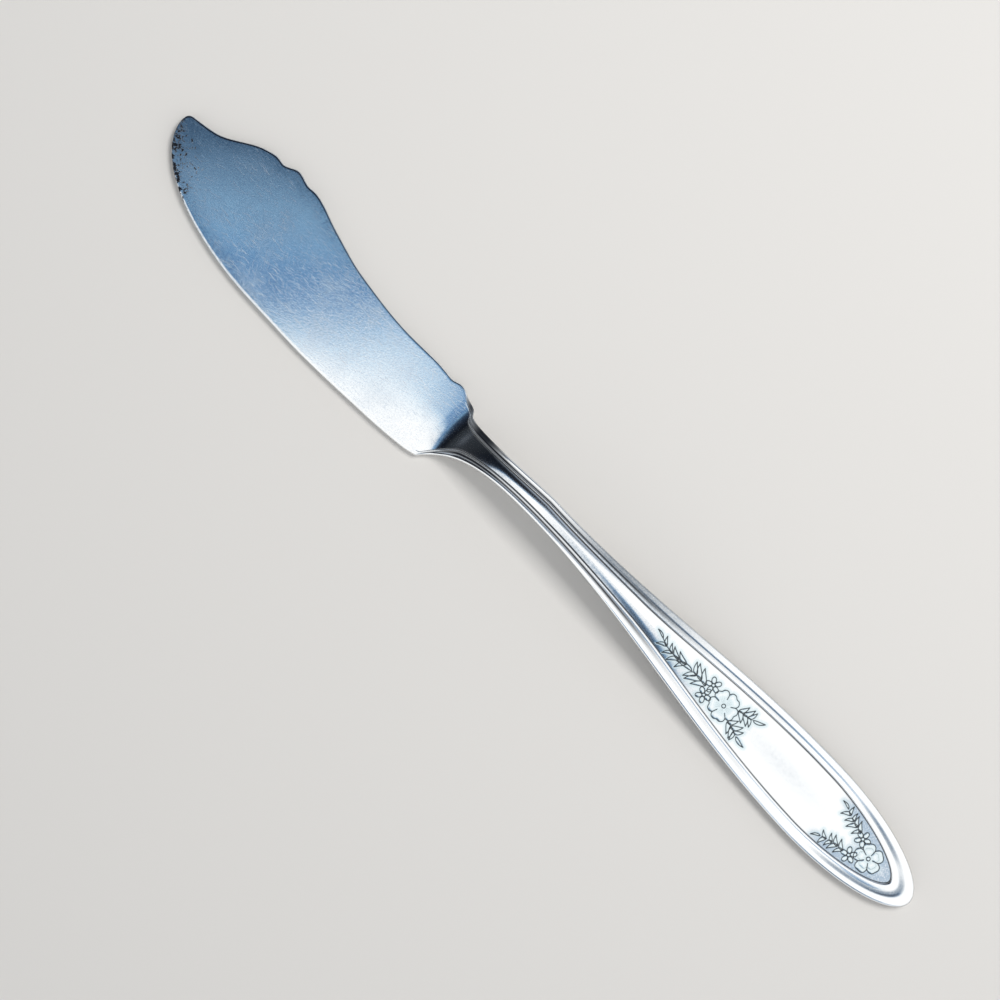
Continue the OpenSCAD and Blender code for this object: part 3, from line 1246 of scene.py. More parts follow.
@dataclass(frozen=True)
class Wear:
    """Where oxide, stains, pits, mat ground and painted shade lie on the knife, in millimetres.

    Lines run across the border, in shares of its width. Other fades, spots and patches count from the place
    that is taken away where they are read.
    """

    form: KnifeForm
    panel_line: Spot = Spot(0.0, 0.11)
    panel_clear: Fade = Fade(0.0, 0.15)
    mat_margin: Fade = Fade(2.6, -1.8)
    mat_start: Fade = Fade(2.0, 5.0)
    mat_end: Fade = Fade(8.5, 3.0)
    mat_end_share: float = 0.55
    foot_neck_w: float = 0.15
    foot_handle_w: float = 0.09
    foot_thins: Fade = Fade(42.0, 14.0)
    foot_spine_w: float = 0.16
    foot_cutting_w: float = 0.11
    foot_swells: Fade = Fade(-17.0, 12.0)
    foot_root_w: float = 0.05
    root_end: Fade = Fade(10.0, 8.0)
    root_line: Spot = Spot(0.37, 0.17, 4)
    # The spine side's bead at the neck's root gets painted shade, nearly black
    root_bead: Fade = Fade(0.3, 0.1)
    root_bead_end: Fade = Fade(5.5, 7.0)
    root_bead_oxide: float = 0.99
    groove_line: Spot = Spot(0.37, 0.14)
    groove_pales: Fade = Fade(38.0, 20.0)
    groove_clears: Fade = Fade(-14.0, 6.0)
    groove_oxide: float = 0.985
    groove_pale: float = 0.15
    # Painted shade: the groove round the handle's end is darkened in the oxide and mat colours, with a bright
    # gap left near its farthest point
    crescent_line: Spot = Spot(0.45, 0.11, 4)
    crescent_start: Fade = Fade(4.0, 8.0)
    crescent_gap: Patch = Patch(0.75, Fade(14.0, 4.0), Spot(2.6, 1.3))
    crescent_oxide: float = 0.42
    crescent_mat: float = 0.95
    # Painted shade on the spine side's border: at the heel's corner it hides a bright edge, and along the
    # neck it darkens the bead
    corner_oxide: Patch = Patch(0.92, Spot(-0.6, 1.7), Fade(0.2, 0.2))
    bead_oxide: Patch = Patch(0.5, Spot(37.0, 13.0), Fade(0.3, 0.2))
    # Painted shade on the upper half of the handle's rounded side, stronger on the cutting side where the
    # shadow falls
    rim_top: Fade = Fade(1.0, -0.4)
    rim_foot: Fade = Fade(-0.95, 0.6)
    rim_sides: Fade = Fade(3.0, -6.0)
    rim_spine_oxide: float = 0.45
    rim_cutting_oxide: float = 0.65
    pit_reach: float = 2.2
    pit_end: Fade = Fade(13.0, -8.0)
    scuffs: Spot = Spot(41.0, 12.0)
    side_stain: Patch = Patch(1.0, Fade(52.0, -30.0), Spot(0.0, 2.6))
    # The tip's patch is partly real tarnish by the pits and partly painted shade. The heel and fold patches
    # are painted shade where the blade rolls up into the neck
    tip_stain_and_shade: Fade = Fade(11.0, -9.0)
    heel_shade: Patch = Patch(0.15, Spot(0.0, 5.0), Fade(-7.5, 6.0))
    fold_shade: Patch = Patch(1.0, Spot(0.0, 1.8), Fade(-8.0, 2.5))
    belly_stain: Patch = Patch(0.45, Spot(2.0, 7.5), Spot(-9.5, 4.5))
    # Painted shade on the spine side's border along the neck
    border_shade: Fade = Fade(21.0, 14.0)
    border_clears: Fade = Fade(42.0, 20.0)
    # Painted shade on the panel's cutting side beside the neck's rib, and where the rib's highlight begins
    rib_shade: float = 1.3
    rib_start: Fade = Fade(18.0, 12.0)
    rib_end: Fade = Fade(47.0, 22.0)
    rib_broadens: Fade = Fade(34.0, 18.0)
    rib_narrow_w: float = 1.1
    rib_broad_w: float = 1.7
    nape_shade: Spot = Spot(9.5, 4.5)
    streak: Patch = Patch(0.35, Spot(-8.0, 9.0), Spot(0.0, 1.5))

    def marks(self, stations: Array, plan: Array, column: Column) -> dict[str, Array]:
        """Gives what the finishes and the strike read along a column.

        Args:
            stations: The sections in plan.
            plan: The column's points in plan.
            column: The column.

        Returns:
            The named shares: oxide in recesses and painted shade on the handle's sides and beads, panel to
                strike, blade,
            pitting by the tip's edge, stains and painted shade, mat ground of the panel's end and painted
            shade in the groove round it, and scuffs across the blade.
        """
        x, y = plan.T
        wide = x - self.form.wide_at
        share = self.form.handle_share(x)
        edge, rim = stations[:, column.side.value], stations[:, column.side.value + 1]
        inset = np.linalg.norm(rim - plan, axis=1)
        none = np.zeros(len(plan))
        oxide, panel, matting, pitting = none, none, none, none
        if column.zone is Zone.PANEL:
            inner = np.linalg.norm(edge - plan, axis=1)
            oxide = self.panel_line(inner) * share
            panel = share * self.panel_clear(inner)
            margin = most(self.mat_margin(inner), self.mat_end_share * self.mat_end(wide))
            matting = margin * self.mat_start(wide)
        elif column.zone is Zone.BORDER:
            # Painted shade in the groove round the handle's end, laid on in dark and in mat colour
            crescent = self.crescent_line(column.share) * self.crescent(wide, y)
            recess = self.recess(x, column, np.linalg.norm(edge - rim, axis=1))
            oxide = most(recess, self.crescent_oxide * crescent) * share
            matting = self.crescent_mat * crescent
            # Painted shade on the spine side's border, at the heel's corner and along the neck's bead
            if column.side is Side.SPINE:
                heel = x - self.form.blade_l
                for patch in (self.corner_oxide, self.bead_oxide):
                    oxide = most(oxide, patch(heel, column.share))
        upper = column.zone is not Zone.UNDER
        if upper and column.side is Side.CUTTING:
            pitting = np.exp(-inset / self.pit_reach) * self.pit_end(x)
        return {
            # The handle's sides get painted shade here, on top of the real oxide
            "oxide": most(oxide, self.rim_oxide(y, column) * share),
            "panel": panel,
            "blade": 1 - share,
            "pitting": pitting,
            # Stains, with painted shade mixed in
            "tarnish": self.tarnish(plan, inset, column) if upper else none,
            "matting": matting,
            "scuff": self.scuffs(x) if upper else none,
        }

    def recess(self, x: Array, column: Column, width: Array) -> Array:
        """Gives how dark the border's recesses are, with painted shade on the spine side's bead at the neck's
        root.

        Args:
            x: Places along the knife.
            column: The column.
            width: Width of the border at each place.

        Returns:
            The oxide in the line at the border's foot, in its groove and in the groove at the neck's root,
            and the painted shade on the spine side's bead there.
        """
        heel, wide = x - self.form.blade_l, x - self.form.wide_at
        spine = column.side is Side.SPINE
        root = 1 - self.root_end(heel)
        early = mix(self.foot_neck_w, self.foot_handle_w, self.foot_thins(heel))
        late = self.foot_spine_w if spine else self.foot_cutting_w
        foot_w = mix(early, late, self.foot_swells(wide)) + self.foot_root_w * root
        foot = np.exp(-((column.share * width / foot_w) ** 2))
        pale = mix(self.groove_oxide, self.groove_pale, self.groove_pales(heel))
        groove = self.groove_line(column.share) * (pale - self.groove_pale * self.groove_clears(wide))
        # Painted shade: the spine side's bead at the neck's root is made nearly black
        bead = self.root_bead_oxide * self.root_bead(column.share) if spine else 0.0
        return most(foot, groove, self.root_line(column.share) * root, bead * (1 - self.root_bead_end(heel)))

    def crescent(self, wide: Array, y: Array) -> Array:
        """Gives the painted shade in the groove round the handle's end, which leaves a bright gap near its
        farthest point.
        """
        return self.crescent_start(wide) * (1 - self.crescent_gap(wide, y))

    def rim_oxide(self, y: Array, column: Column) -> Array:
        """Gives the painted shade on the handle's side: dark over its upper half, most of all on the cutting
        side, where the shadow falls.
        """
        turned = self.rim_top(column.level) * self.rim_foot(column.level)
        return turned * mix(self.rim_spine_oxide, self.rim_cutting_oxide, self.rim_sides(y))

    def tarnish(self, plan: Array, inset: Array, column: Column) -> Array:
        """Gives the stains on the blade and the panel, and the painted shade at the blade's tip, heel and
        fold, on the spine side's border, beside the neck's rib and where that rib begins.

        Args:
            plan: The column's points in plan.
            inset: Their distances from the rim.
            column: The column.

        Returns:
            The strength of the stains and of the painted shade at each point.
        """
        x, y = plan.T
        heel = x - self.form.blade_l
        # Real stains on the blade, with painted shade at the tip; the next line adds painted shade at the
        # heel and in the fold into the neck
        blade = most(self.side_stain(x, inset), self.tip_stain_and_shade(x), self.belly_stain(x - self.form.belly_x, y))
        stain_and_shade = most(blade, self.heel_shade(heel, y), self.fold_shade(heel, y))
        # Painted shade on the spine side's border along the neck
        if column.zone is Zone.BORDER and column.side is Side.SPINE:
            stain_and_shade = most(stain_and_shade, self.border_shade(heel) * (1 - self.border_clears(heel)))
        if column.zone is Zone.PANEL:
            # Painted shade where the neck's rib begins, beside a real streak on the panel
            stain_and_shade = most(stain_and_shade, self.nape_shade(heel), self.streak(x - self.form.wide_at, y))
            # Painted shade on the panel's cutting side beside the neck's rib
            if column.side is Side.CUTTING:
                reach = mix(self.rib_narrow_w, self.rib_broad_w, self.rib_broadens(heel))
                rib = np.exp(-(((inset - self.form.border(x)) / reach) ** 2))
                stain_and_shade = most(stain_and_shade, self.rib_shade * rib * self.rib_start(heel) * (1 - self.rib_end(heel)))
        return stain_and_shade


@dataclass(frozen=True)
class Pitch:
    """Numbers of sections in each stretch of the skin, and of columns across it."""

    tip: int = 24
    beak: int = 10
    lobes: int = 44
    waist: int = 24
    shoulder: int = 44
    nape: int = 24
    neck: int = 40
    spray: int = 250
    bare: int = 16
    cap: int = 176
    panel: int = 36


class KnifeSkin:
    """The knife's outer surface as one closed grid of sections.

    Attributes:
        BORDER_SHARES: Places of columns across the border, up to the bead's top.
        BORDER_MOST: Greatest share of a section's half that the border takes.
        BEAD_FROM: Share of the border from which its bead is rounded off.
        PANEL_GUARD: Place of the column just inside the panel's edge.
        RIM_LEVELS: Levels of columns on the rim's upper half.
        UNDER_LEVELS: Levels of columns on its lower half.
        UNDER_SHARES: Places of columns on the underside.
        RIM_POWER: How square the rim's upper half is.
        UNDER_POWER: How square its lower half is.
        BLADE_POWER: How late the rounding of the blade's sides sets in.
        FOLD_TO: Place up to which sections fold towards the tip.
        SPRAY_FROM: Place where the finer sections of the first spray begin.
        SPRAY_TO: Place where they end.
        CAP_STEPS: Number of steps in which the handle's end is measured.
    """

    BORDER_SHARES = (
        0.02, 0.045, 0.07, 0.10, 0.14, 0.18, 0.215, 0.25, 0.29, 0.33,
        0.37, 0.41, 0.45, 0.49, 0.53, 0.58, 0.63, 0.68, 0.73, 0.78,
    )
    BORDER_MOST = 0.6
    BEAD_FROM = 0.55
    PANEL_GUARD = 0.994
    RIM_LEVELS = (0.97, 0.9, 0.8, 0.65, 0.45, 0.22, 0.0)
    UNDER_LEVELS = (0.25, 0.5, 0.68, 0.8, 0.88, 0.94, 0.975, 0.992)
    UNDER_SHARES = (0.6, 0.3)
    RIM_POWER = 3.0
    UNDER_POWER = 6.0
    BLADE_POWER = 6.0
    FOLD_TO = 2.3
    SPRAY_FROM = 116.5
    SPRAY_TO = 144.5
    CAP_STEPS = 2000

    def __init__(self, form: KnifeForm, placing: Placing, pitch: Pitch) -> None:
        """Keeps what the surface is made from.

        Args:
            form: The knife's sizes and rules.
            placing: Where it lies in the frame.
            pitch: Distances between sections.
        """
        self.form = form
        self.placing = placing
        self.pitch = pitch

    def stations(self) -> Array:
        """Lays out the sections in plan.

        Returns:
            For each section its middle, then panel edge and rim on the spine side and on the cutting side.
        """
        form, pitch = self.form, self.pitch
        start = form.beak_x
        x = [start * (np.arange(1, pitch.tip + 1) / pitch.tip) ** 2]
        for stop, count in (
            (form.lobes_from, pitch.beak),
            (form.lobes_to, pitch.lobes),
            (form.shoulder_from, pitch.waist),
            (form.nape_at, pitch.shoulder),
            (form.neck_at, pitch.nape),
            (self.SPRAY_FROM, pitch.neck),
            (self.SPRAY_TO, pitch.spray),
            (form.wide_at, pitch.bare),
        ):
            x.append(np.linspace(start, stop, count + 1)[1:])
            start = stop
        plain = self.plain_stations(np.concatenate(x))
        return np.concatenate([self.tip_station(), plain, self.cap_stations()])

    def tip_station(self) -> Array:
        """Folds a section into a line at the tip.

        Returns:
            That one section.
        """
        tip = np.array([0.0, self.form.tip_h])
        middle = self.middles(np.array([0.0]))[0]
        half = (tip + middle) / 2
        return np.array([[middle, half, tip, half, tip]])

    def middles(self, x: Array) -> Array:
        """Lays out the middles of sections.

        Args:
            x: Places of the sections' ends.

        Returns:
            The middles, which lie ahead of the ends, and near the tip on the fold's own line.
        """
        form = self.form
        reach = np.maximum(x, self.FOLD_TO)
        lean = 2 * form.tip_r * (1 - ease(reach / form.lobes_from))
        ahead = np.stack([reach + lean, (form.spine_y(reach) + form.edge_y(reach)) / 2], 1)
        share = mix(0.5, 1.0, np.minimum(1.0, x / self.FOLD_TO))[:, None]
        return mix(np.array([0.0, form.tip_h]), ahead, share)

    def plain_stations(self, x: Array) -> Array:
        """Lays out the sections square to the knife's axis.

        Args:
            x: Places of the sections' ends.

        Returns:
            The sections, which lean back towards the tip.
        """
        form = self.form
        middle = self.middles(x)
        sides = []
        for y, broad in ((form.spine_y(x), 1.0), (form.edge_y(x), form.flare(x))):
            rim = np.stack([x, y], 1)
            span = np.linalg.norm(middle - rim, axis=1)
            share = np.minimum(self.BORDER_MOST, form.border(x) * broad / span)[:, None]
            sides += [mix(rim, middle, share), rim]
        return np.stack([middle, *sides], 1)

    def cap_stations(self) -> Array:
        """Lays out the sections that turn round the handle's end.

        Returns:
            The sections, at an even pitch along the panel.
        """
        form = self.form
        fine = np.linspace(np.pi / 2, 0, self.CAP_STEPS)
        panel_l = form.cap_l - form.panel_gap
        arc = np.hypot(np.diff(panel_l * np.cos(fine)), np.diff(form.handle_w / 2 * np.sin(fine)))
        travelled = np.concatenate([[0.0], np.cumsum(arc)])
        wanted = np.linspace(0, travelled[-1], self.pitch.cap + 1)[1:]
        angle = np.interp(wanted, travelled, fine)
        angle[-1] = 0.0
        middle = np.stack([form.wide_at + (panel_l - form.border_w / 2) * np.cos(angle), 0 * angle], 1)
        rim = self.cap_curve(form.cap_l, form.handle_w / 2, 2.0, angle)
        panel = self.cap_curve(panel_l, form.handle_w / 2 - form.border_w, form.panel_power, angle)
        flip = np.array([1.0, -1.0])
        return np.stack([middle, panel, rim, panel * flip, rim * flip], 1)

    def cap_curve(self, length: float, width: float, power: float, angle: Array) -> Array:
        """Gives points of a rounded end, where a power of 2 is an ellipse."""
        cos, sin = np.maximum(0, np.cos(angle)), np.maximum(0, np.sin(angle))
        return np.stack([self.form.wide_at + length * cos ** (2 / power), width * sin ** (2 / power)], 1)

    def columns(self) -> list[Column]:
        """Lists the lines of one round.

        Returns:
            The columns, from the middle over the spine side to the keel and back over the cutting side.
        """
        inner = [k / self.pitch.panel for k in range(1, self.pitch.panel)]
        places = [(Zone.PANEL, share, 1.0) for share in (*inner, self.PANEL_GUARD, 1.0)]
        places += [(Zone.BORDER, share, 1.0) for share in self.BORDER_SHARES]
        for level in self.RIM_LEVELS:
            places.append((Zone.BORDER, mix(self.form.bead_top, 1.0, rounded(level, self.RIM_POWER)), level))
        places += [(Zone.UNDER, rounded(level, self.UNDER_POWER), -level) for level in self.UNDER_LEVELS]
        places += [(Zone.UNDER, share, -rounded(share, self.UNDER_POWER)) for share in self.UNDER_SHARES]
        spine = [Column(Side.SPINE, *place) for place in places]
        cutting = [Column(Side.CUTTING, *place) for place in reversed(places)]
        middle = Column(Side.SPINE, Zone.PANEL, 0.0)
        keel = Column(Side.SPINE, Zone.UNDER, 0.0, -1.0)
        return [middle, *spine, keel, *cutting]

    def plan(self, stations: Array, column: Column) -> Array:
        """Lays out a column in plan.

        Args:
            stations: The sections in plan.
            column: The column.

        Returns:
            The column's points in plan.
        """
        middle = stations[:, 0]
        panel = stations[:, column.side.value]
        rim = stations[:, column.side.value + 1]
        ends = {Zone.PANEL: (middle, panel), Zone.BORDER: (panel, rim), Zone.UNDER: (middle, rim)}
        return mix(*ends[column.zone], column.share)

    def blade_height(self, plan: Array, column: Column) -> Array:
        """Gives a column's heights on the blade, whose bevel is worn round and fades at the tip.

        Args:
            plan: The column's points in plan.
            column: The column.

        Returns:
            The heights over the table.
        """
        form = self.form
        x, y = plan.T
        face = form.face_z(x, y)
        if column.zone is Zone.PANEL:
            return face
        drop = form.spine_round
        if column.side is Side.CUTTING:
            drop = (form.blade_t - form.edge_t) * ease((x - form.beak_x) / (2 * form.beak_x))
        if column.zone is Zone.BORDER:
            return (face - drop * column.share**self.BLADE_POWER) * (1 + column.level) / 2
        return (form.blade_t - drop) * (1 + column.level) / 2

    def handle_height(self, x: Array, column: Column) -> Array:
        """Gives a column's heights on the handle.

        Args:
            x: Places along the knife.
            column: The column.

        Returns:
            The heights over the table.
        """
        form = self.form
        low, thick = form.under_z(x), form.rim_t(x)
        if column.zone is Zone.PANEL:
            return low + thick - form.panel_d + form.crown(x) * (1 - column.share**2)
        if column.zone is Zone.BORDER and column.share <= form.bead_top:
            return low + thick + form.moulding(column.share, x)
        return low + thick * (1 + column.level) / 2

    def points(self, plan: Array, column: Column) -> Array:
        """Raises a column to its heights.

        Args:
            plan: The column's points in plan.
            column: The column.

        Returns:
            The column's points of the drawing.
        """
        x, y = plan.T
        z = mix(self.blade_height(plan, column), self.handle_height(x, column), self.form.handle_share(x))
        upper = (1 + column.level) / 2
        if column.zone is not Zone.UNDER:
            z += self.form.swell(x, y) * upper
        if column.zone is Zone.BORDER and column.side is Side.CUTTING:
            outer = max(0.0, (column.share - self.BEAD_FROM) / (1 - self.BEAD_FROM)) ** 2
            z -= self.form.bead_fall(x) * outer * upper
        return np.column_stack([plan, z])

    def mesh(self, name: str) -> Mesh:
        """Builds the closed mesh with its marks.

        Args:
            name: The mesh's name.

        Returns:
            The mesh.
        """
        stations = self.stations()
        columns = self.columns()
        plans = [self.plan(stations, column) for column in columns]
        drawn = np.stack([self.points(*pair) for pair in zip(plans, columns)], 1)
        wear = Wear(self.form)
        marks = [wear.marks(stations, *pair) for pair in zip(plans, columns)]
        rows, ring = drawn.shape[:2]
        index = np.arange(rows * ring).reshape(rows, ring)
        folded = np.minimum(np.arange(ring), ring - np.arange(ring))
        for end in (0, rows - 1):
            index[end] = index[end][folded]
        used, index = np.unique(index, return_inverse=True)
        index = index.reshape(rows, ring)
        following = np.roll(index, -1, axis=1)
        quads = np.stack([index[:-1], index[1:], following[1:], following[:-1]], -1).reshape(-1, 4)
        mesh = bpy.data.meshes.new(name)
        placed = self.placing.points(drawn.reshape(-1, 3)[used])
        mesh.from_pydata(placed.tolist(), [], quads.tolist())
        for mark in marks[0]:
            values = np.stack([m[mark] for m in marks], 1).reshape(-1)[used]
            attribute = mesh.attributes.new(mark, "FLOAT", "POINT")
            attribute.data.foreach_set("value", values.astype(np.float32))
        mesh.shade_smooth()
        log.info("%s: %d sections of %d points", name, rows, ring)
        return mesh


class Effects:
    """Shader node groups that more than one finish uses.

    Attributes:
        SCRATCHES: Turn, in radians, and strength of each set of scratches.
        STREAK: Level at which a streak begins without cover, what cover takes away, and how soft it is.
        CLOUD: The same for a patch of bloom.
        NOISES: Input, detail and roughness of the noise for patches and of the one for grain.
    """

    SCRATCHES = ((0.04, 1.0), (-0.32, 0.8), (0.95, 0.6))
    STREAK = (0.78, 0.2, 0.06)
    CLOUD = (0.75, 0.4, 0.3)
    NOISES = (("Patch", 5.0, 0.6), ("Grain", 3.0, 0.7))

    def __init__(self) -> None:
        """Builds each group once."""
        self.hairlines = self.hairline_group()
        self.bloom = self.bloom_group()

    def hairline_group(self) -> Tree:
        """Builds fine scratches.

        Returns:
            A group that gives thin streaks in three directions, most of them along the knife.
        """
        inputs = dict.fromkeys(("Across", "Along", "Cover"), NUMBER)
        wiring, take, out = new_group("hairlines", "ShaderNodeTree", inputs, {"Mask": NUMBER})
        stretch = wiring.join(take["Along"], take["Across"], take["Along"])
        bare, cover, soft = self.STREAK
        start = bare - take["Cover"] * cover
        total: Any = 0.0
        for turn, share in self.SCRATCHES:
            place = wiring.add("ShaderNodeTexCoord", give="Object")
            turned = wiring.add("ShaderNodeMapping", {"Vector": place, "Rotation": (0.0, 0.0, turn)})
            inputs = {"Vector": wiring.vectors("MULTIPLY", turned, stretch), "Scale": 1.0, "Detail": 1.0}
            noise = wiring.add("ShaderNodeTexNoise", inputs, "Fac")
            total = wiring.most(total, wiring.ramp(noise, start, start + soft) * share)
        wiring.feed(out.inputs["Mask"], total)
        return wiring.tree

    def bloom_group(self) -> Tree:
        """Builds the cloudy bloom of tarnish.

        Returns:
            A group that gives broad patches and a finer grain.
        """
        inputs = dict.fromkeys(("Patch", "Grain", "Cover"), NUMBER)
        outputs = dict.fromkeys(("Mask", "Grain"), NUMBER)
        wiring, take, out = new_group("bloom", "ShaderNodeTree", inputs, outputs)
        place = wiring.add("ShaderNodeTexCoord", give="Object")
        patch, grain = (
            wiring.add(
                "ShaderNodeTexNoise",
                {"Vector": place, "Scale": take[scale], "Detail": detail, "Roughness": roughness},
                "Fac",
            )
            for scale, detail, roughness in self.NOISES
        )
        bare, cover, soft = self.CLOUD
        start = bare - take["Cover"] * cover
        wiring.feed(out.inputs["Mask"], wiring.ramp(patch, start, start + soft))
        wiring.feed(out.inputs["Grain"], grain)
        return wiring.tree


@dataclass(frozen=True)
class SilverFinish:
    """Bright silver plate, satin from use on the blade, with dark oxide left in the recesses and painted
    shade on parts that reflect dark.

    Attributes:
        silver: Colour of clean silver.
        bloom: Colour of tarnish, and of the painted shade that comes with the stains.
        oxide: Colour of the black oxide, and of the painted shade on the handle's sides and beads.
        mat: Colour of the mat ground, and of the painted shade in the groove round the handle's end.
        tint: Colour of the painted shade round struck lines.
        line_w: Half width of a struck line's oxide, in millimetres.
        halo_w: Distance from a line at which its painted shade ends, in millimetres.
        line_oxide: How black a struck line is.
        halo: How strong the painted shade is beside a line.
        blade_roughness: Roughness of the blade.
        handle_roughness: Roughness of the handle.
        oxide_roughness: Roughness of the oxide and of the painted shade.
        scratch_roughness: Roughness that scratches add to the blade.
        bloom_roughness: Roughness that bloom adds to the blade.
        oxide_cover: How far oxide and painted shade take the metal's mirror away.
        specular: Strength of the mirror on the oxide.
        pit_gain: How much more pits there are where pitting is full.
        pit_edge: Levels of the grain between which a pit begins.
        pit_fade: Shares of pitting between which pits set in.
        speckle: Strength of fine specks on the blade.
        speckle_edge: Levels of the grain between which a speck begins.
        haze: Strength of the bloom.
        mottle: Levels of the coarse grain, and the shares of stain and painted shade there.
        grain_of_stain_and_shade: Levels of the fine grain, and the shares of stain and painted shade there.
        stipple: Levels of the fine grain, and the shares of the mat ground and its painted shade there.
        grain_height: Height of the blade's grain, as a share of the relief.
        blade_scratch: Depth that scratches have on the blade and not on the handle.
        handle_scratch: Depth of scratches on the handle.
        nick_depth: Depth of the nicks.
        relief: Height of grain and scratches, in metres.
    """

    silver: Colour = (0.93, 0.945, 0.95, 1.0)
    bloom: Colour = (0.40, 0.47, 0.54, 1.0)
    oxide: Colour = (0.012, 0.015, 0.021, 1.0)
    mat: Colour = (0.38, 0.48, 0.59, 1.0)
    tint: Colour = (0.42, 0.62, 0.68, 1.0)
    line_w: float = 0.085
    halo_w: float = 0.9
    line_oxide: float = 0.94
    halo: float = 0.5
    blade_roughness: float = 0.085
    handle_roughness: float = 0.18
    oxide_roughness: float = 0.5
    scratch_roughness: float = 0.1
    bloom_roughness: float = 0.05
    oxide_cover: float = 0.5
    specular: float = 0.2
    pit_gain: float = 0.17
    pit_edge: Pair = (0.61, 0.66)
    pit_fade: Pair = (0.0, 0.12)
    speckle: float = 0.2
    speckle_edge: Pair = (0.42, 0.62)
    haze: float = 0.07
    smudge: Ramp = (0.35, 0.65, 0.7, 1.2)
    grain_of_stain_and_shade: Ramp = (0.3, 0.7, 0.4, 0.8)
    stipple: Ramp = (0.25, 0.6, 0.35, 1.0)
    grain_height: float = 0.75
    blade_scratch: float = 0.17
    handle_scratch: float = 0.03
    nick_depth: float = 0.5
    relief: float = 0.000003

    def material(self, effects: Effects) -> Material:
        """Builds the material.

        Args:
            effects: The shared shader groups.

        Returns:
            The material.
        """
        material, wiring, shader = new_material("worn_silver")
        hair = wiring.group(effects.hairlines, Across=6500.0, Along=420.0, Cover=0.6)["Mask"]
        nicks = wiring.group(effects.hairlines, Across=4600.0, Along=2000.0, Cover=0.95)["Mask"]
        cloud = wiring.group(effects.bloom, Patch=140.0, Grain=4200.0, Cover=0.75)
        wear = wiring.group(effects.bloom, Patch=500.0, Grain=1750.0, Cover=0.5)["Grain"]
        blade, grain = wiring.attribute("blade"), cloud["Grain"]
        away, pitting = wiring.attribute("line_away"), wiring.attribute("pitting")
        pitted = wiring.ramp(pitting, *self.pit_fade)
        pits = wiring.ramp(pitting * self.pit_gain + wear, *self.pit_edge) * pitted
        line = wiring.ramp(away, 0.5 * self.line_w, 1.5 * self.line_w, self.line_oxide, 0.0)
        # The oxide share also carries painted shade on the handle's sides and beads, which turns as dark as
        # oxide here
        dark = wiring.most(wiring.attribute("oxide"), line, pits * blade)
        speckle = wiring.ramp(grain, *self.speckle_edge) * (blade * self.speckle)
        # The stains carry painted shade too, so this veil darkens the silver towards the bloom colour for
        # both tarnish and shade
        smudge = wiring.attribute("tarnish") * wiring.ramp(wear, *self.smudge)
        stain_and_shade = smudge * wiring.ramp(grain, *self.grain_of_stain_and_shade)
        veil_and_shade = wiring.most(cloud["Mask"] * self.haze + speckle, stain_and_shade)
        # Mat ground of the panel's end, and painted shade in the groove round the handle's end
        ground_and_shade = (1.0 - wiring.attribute("raised")) * wiring.attribute("matting")
        colour = wiring.blend(veil_and_shade, self.silver, self.bloom)
        for share, over in (
            # Painted shade round struck lines, in a grey-cyan tone
            (wiring.ramp(away, 0.0, self.halo_w, self.halo, 0.0), self.tint),
            (ground_and_shade * wiring.ramp(grain, *self.stipple), self.mat),
            (dark, self.oxide),
        ):
            colour = wiring.blend(share, colour, over)
        satin = wiring.ramp(blade, 0.0, 1.0, self.handle_roughness, self.blade_roughness)
        clouded = cloud["Mask"] * blade * self.bloom_roughness + satin
        scuffed = hair * blade * self.scratch_roughness + clouded
        scratched = hair * (blade * -self.blade_scratch - self.handle_scratch)
        nicked = nicks * wiring.attribute("scuff") * -self.nick_depth
        height = grain * self.grain_height * blade + scratched + nicked
        wiring.feed(shader["Base Color"], colour)
        wiring.feed(shader["Roughness"], wiring.most(scuffed, dark * self.oxide_roughness))
        wiring.feed(shader["Metallic"], 1.0 - dark * self.oxide_cover)
        wiring.feed(shader["Specular IOR Level"], self.specular)
        bump = wiring.add("ShaderNodeBump", {"Distance": self.relief, "Height": height})
        wiring.feed(shader["Normal"], bump)
        return material


@dataclass(frozen=True)
class NickelSilverFinish:
    """Bare nickel silver as the die left it, yellower and duller than the plate over it.

    Attributes:
        metal: Colour of the clean metal.
        dull: Colour of its dull patches.
        roughness: Least roughness.
        grain: Roughness that the grain adds.
        relief: Depth of scratches, in metres.
    """

    metal: Colour = (0.66, 0.62, 0.54, 1.0)
    dull: Colour = (0.52, 0.48, 0.41, 1.0)
    roughness: float = 0.27
    grain: float = 0.15
    relief: float = 0.00002

    def material(self, effects: Effects) -> Material:
        """Builds the material.

        Args:
            effects: The shared shader groups.

        Returns:
            The material.
        """
        material, wiring, shader = new_material("bare_nickel_silver")
        cloud = wiring.group(effects.bloom, Patch=220.0, Grain=3000.0, Cover=0.6)
        hair = wiring.group(effects.hairlines, Across=6000.0, Along=260.0, Cover=0.9)["Mask"]
        wiring.feed(shader["Metallic"], 1.0)
        wiring.feed(shader["Base Color"], wiring.blend(cloud["Mask"], self.metal, self.dull))
        wiring.feed(shader["Roughness"], cloud["Grain"] * self.grain + self.roughness)
        wiring.feed(shader["Normal"], wiring.add("ShaderNodeBump", {"Distance": self.relief, "Height": hair}))
        return material


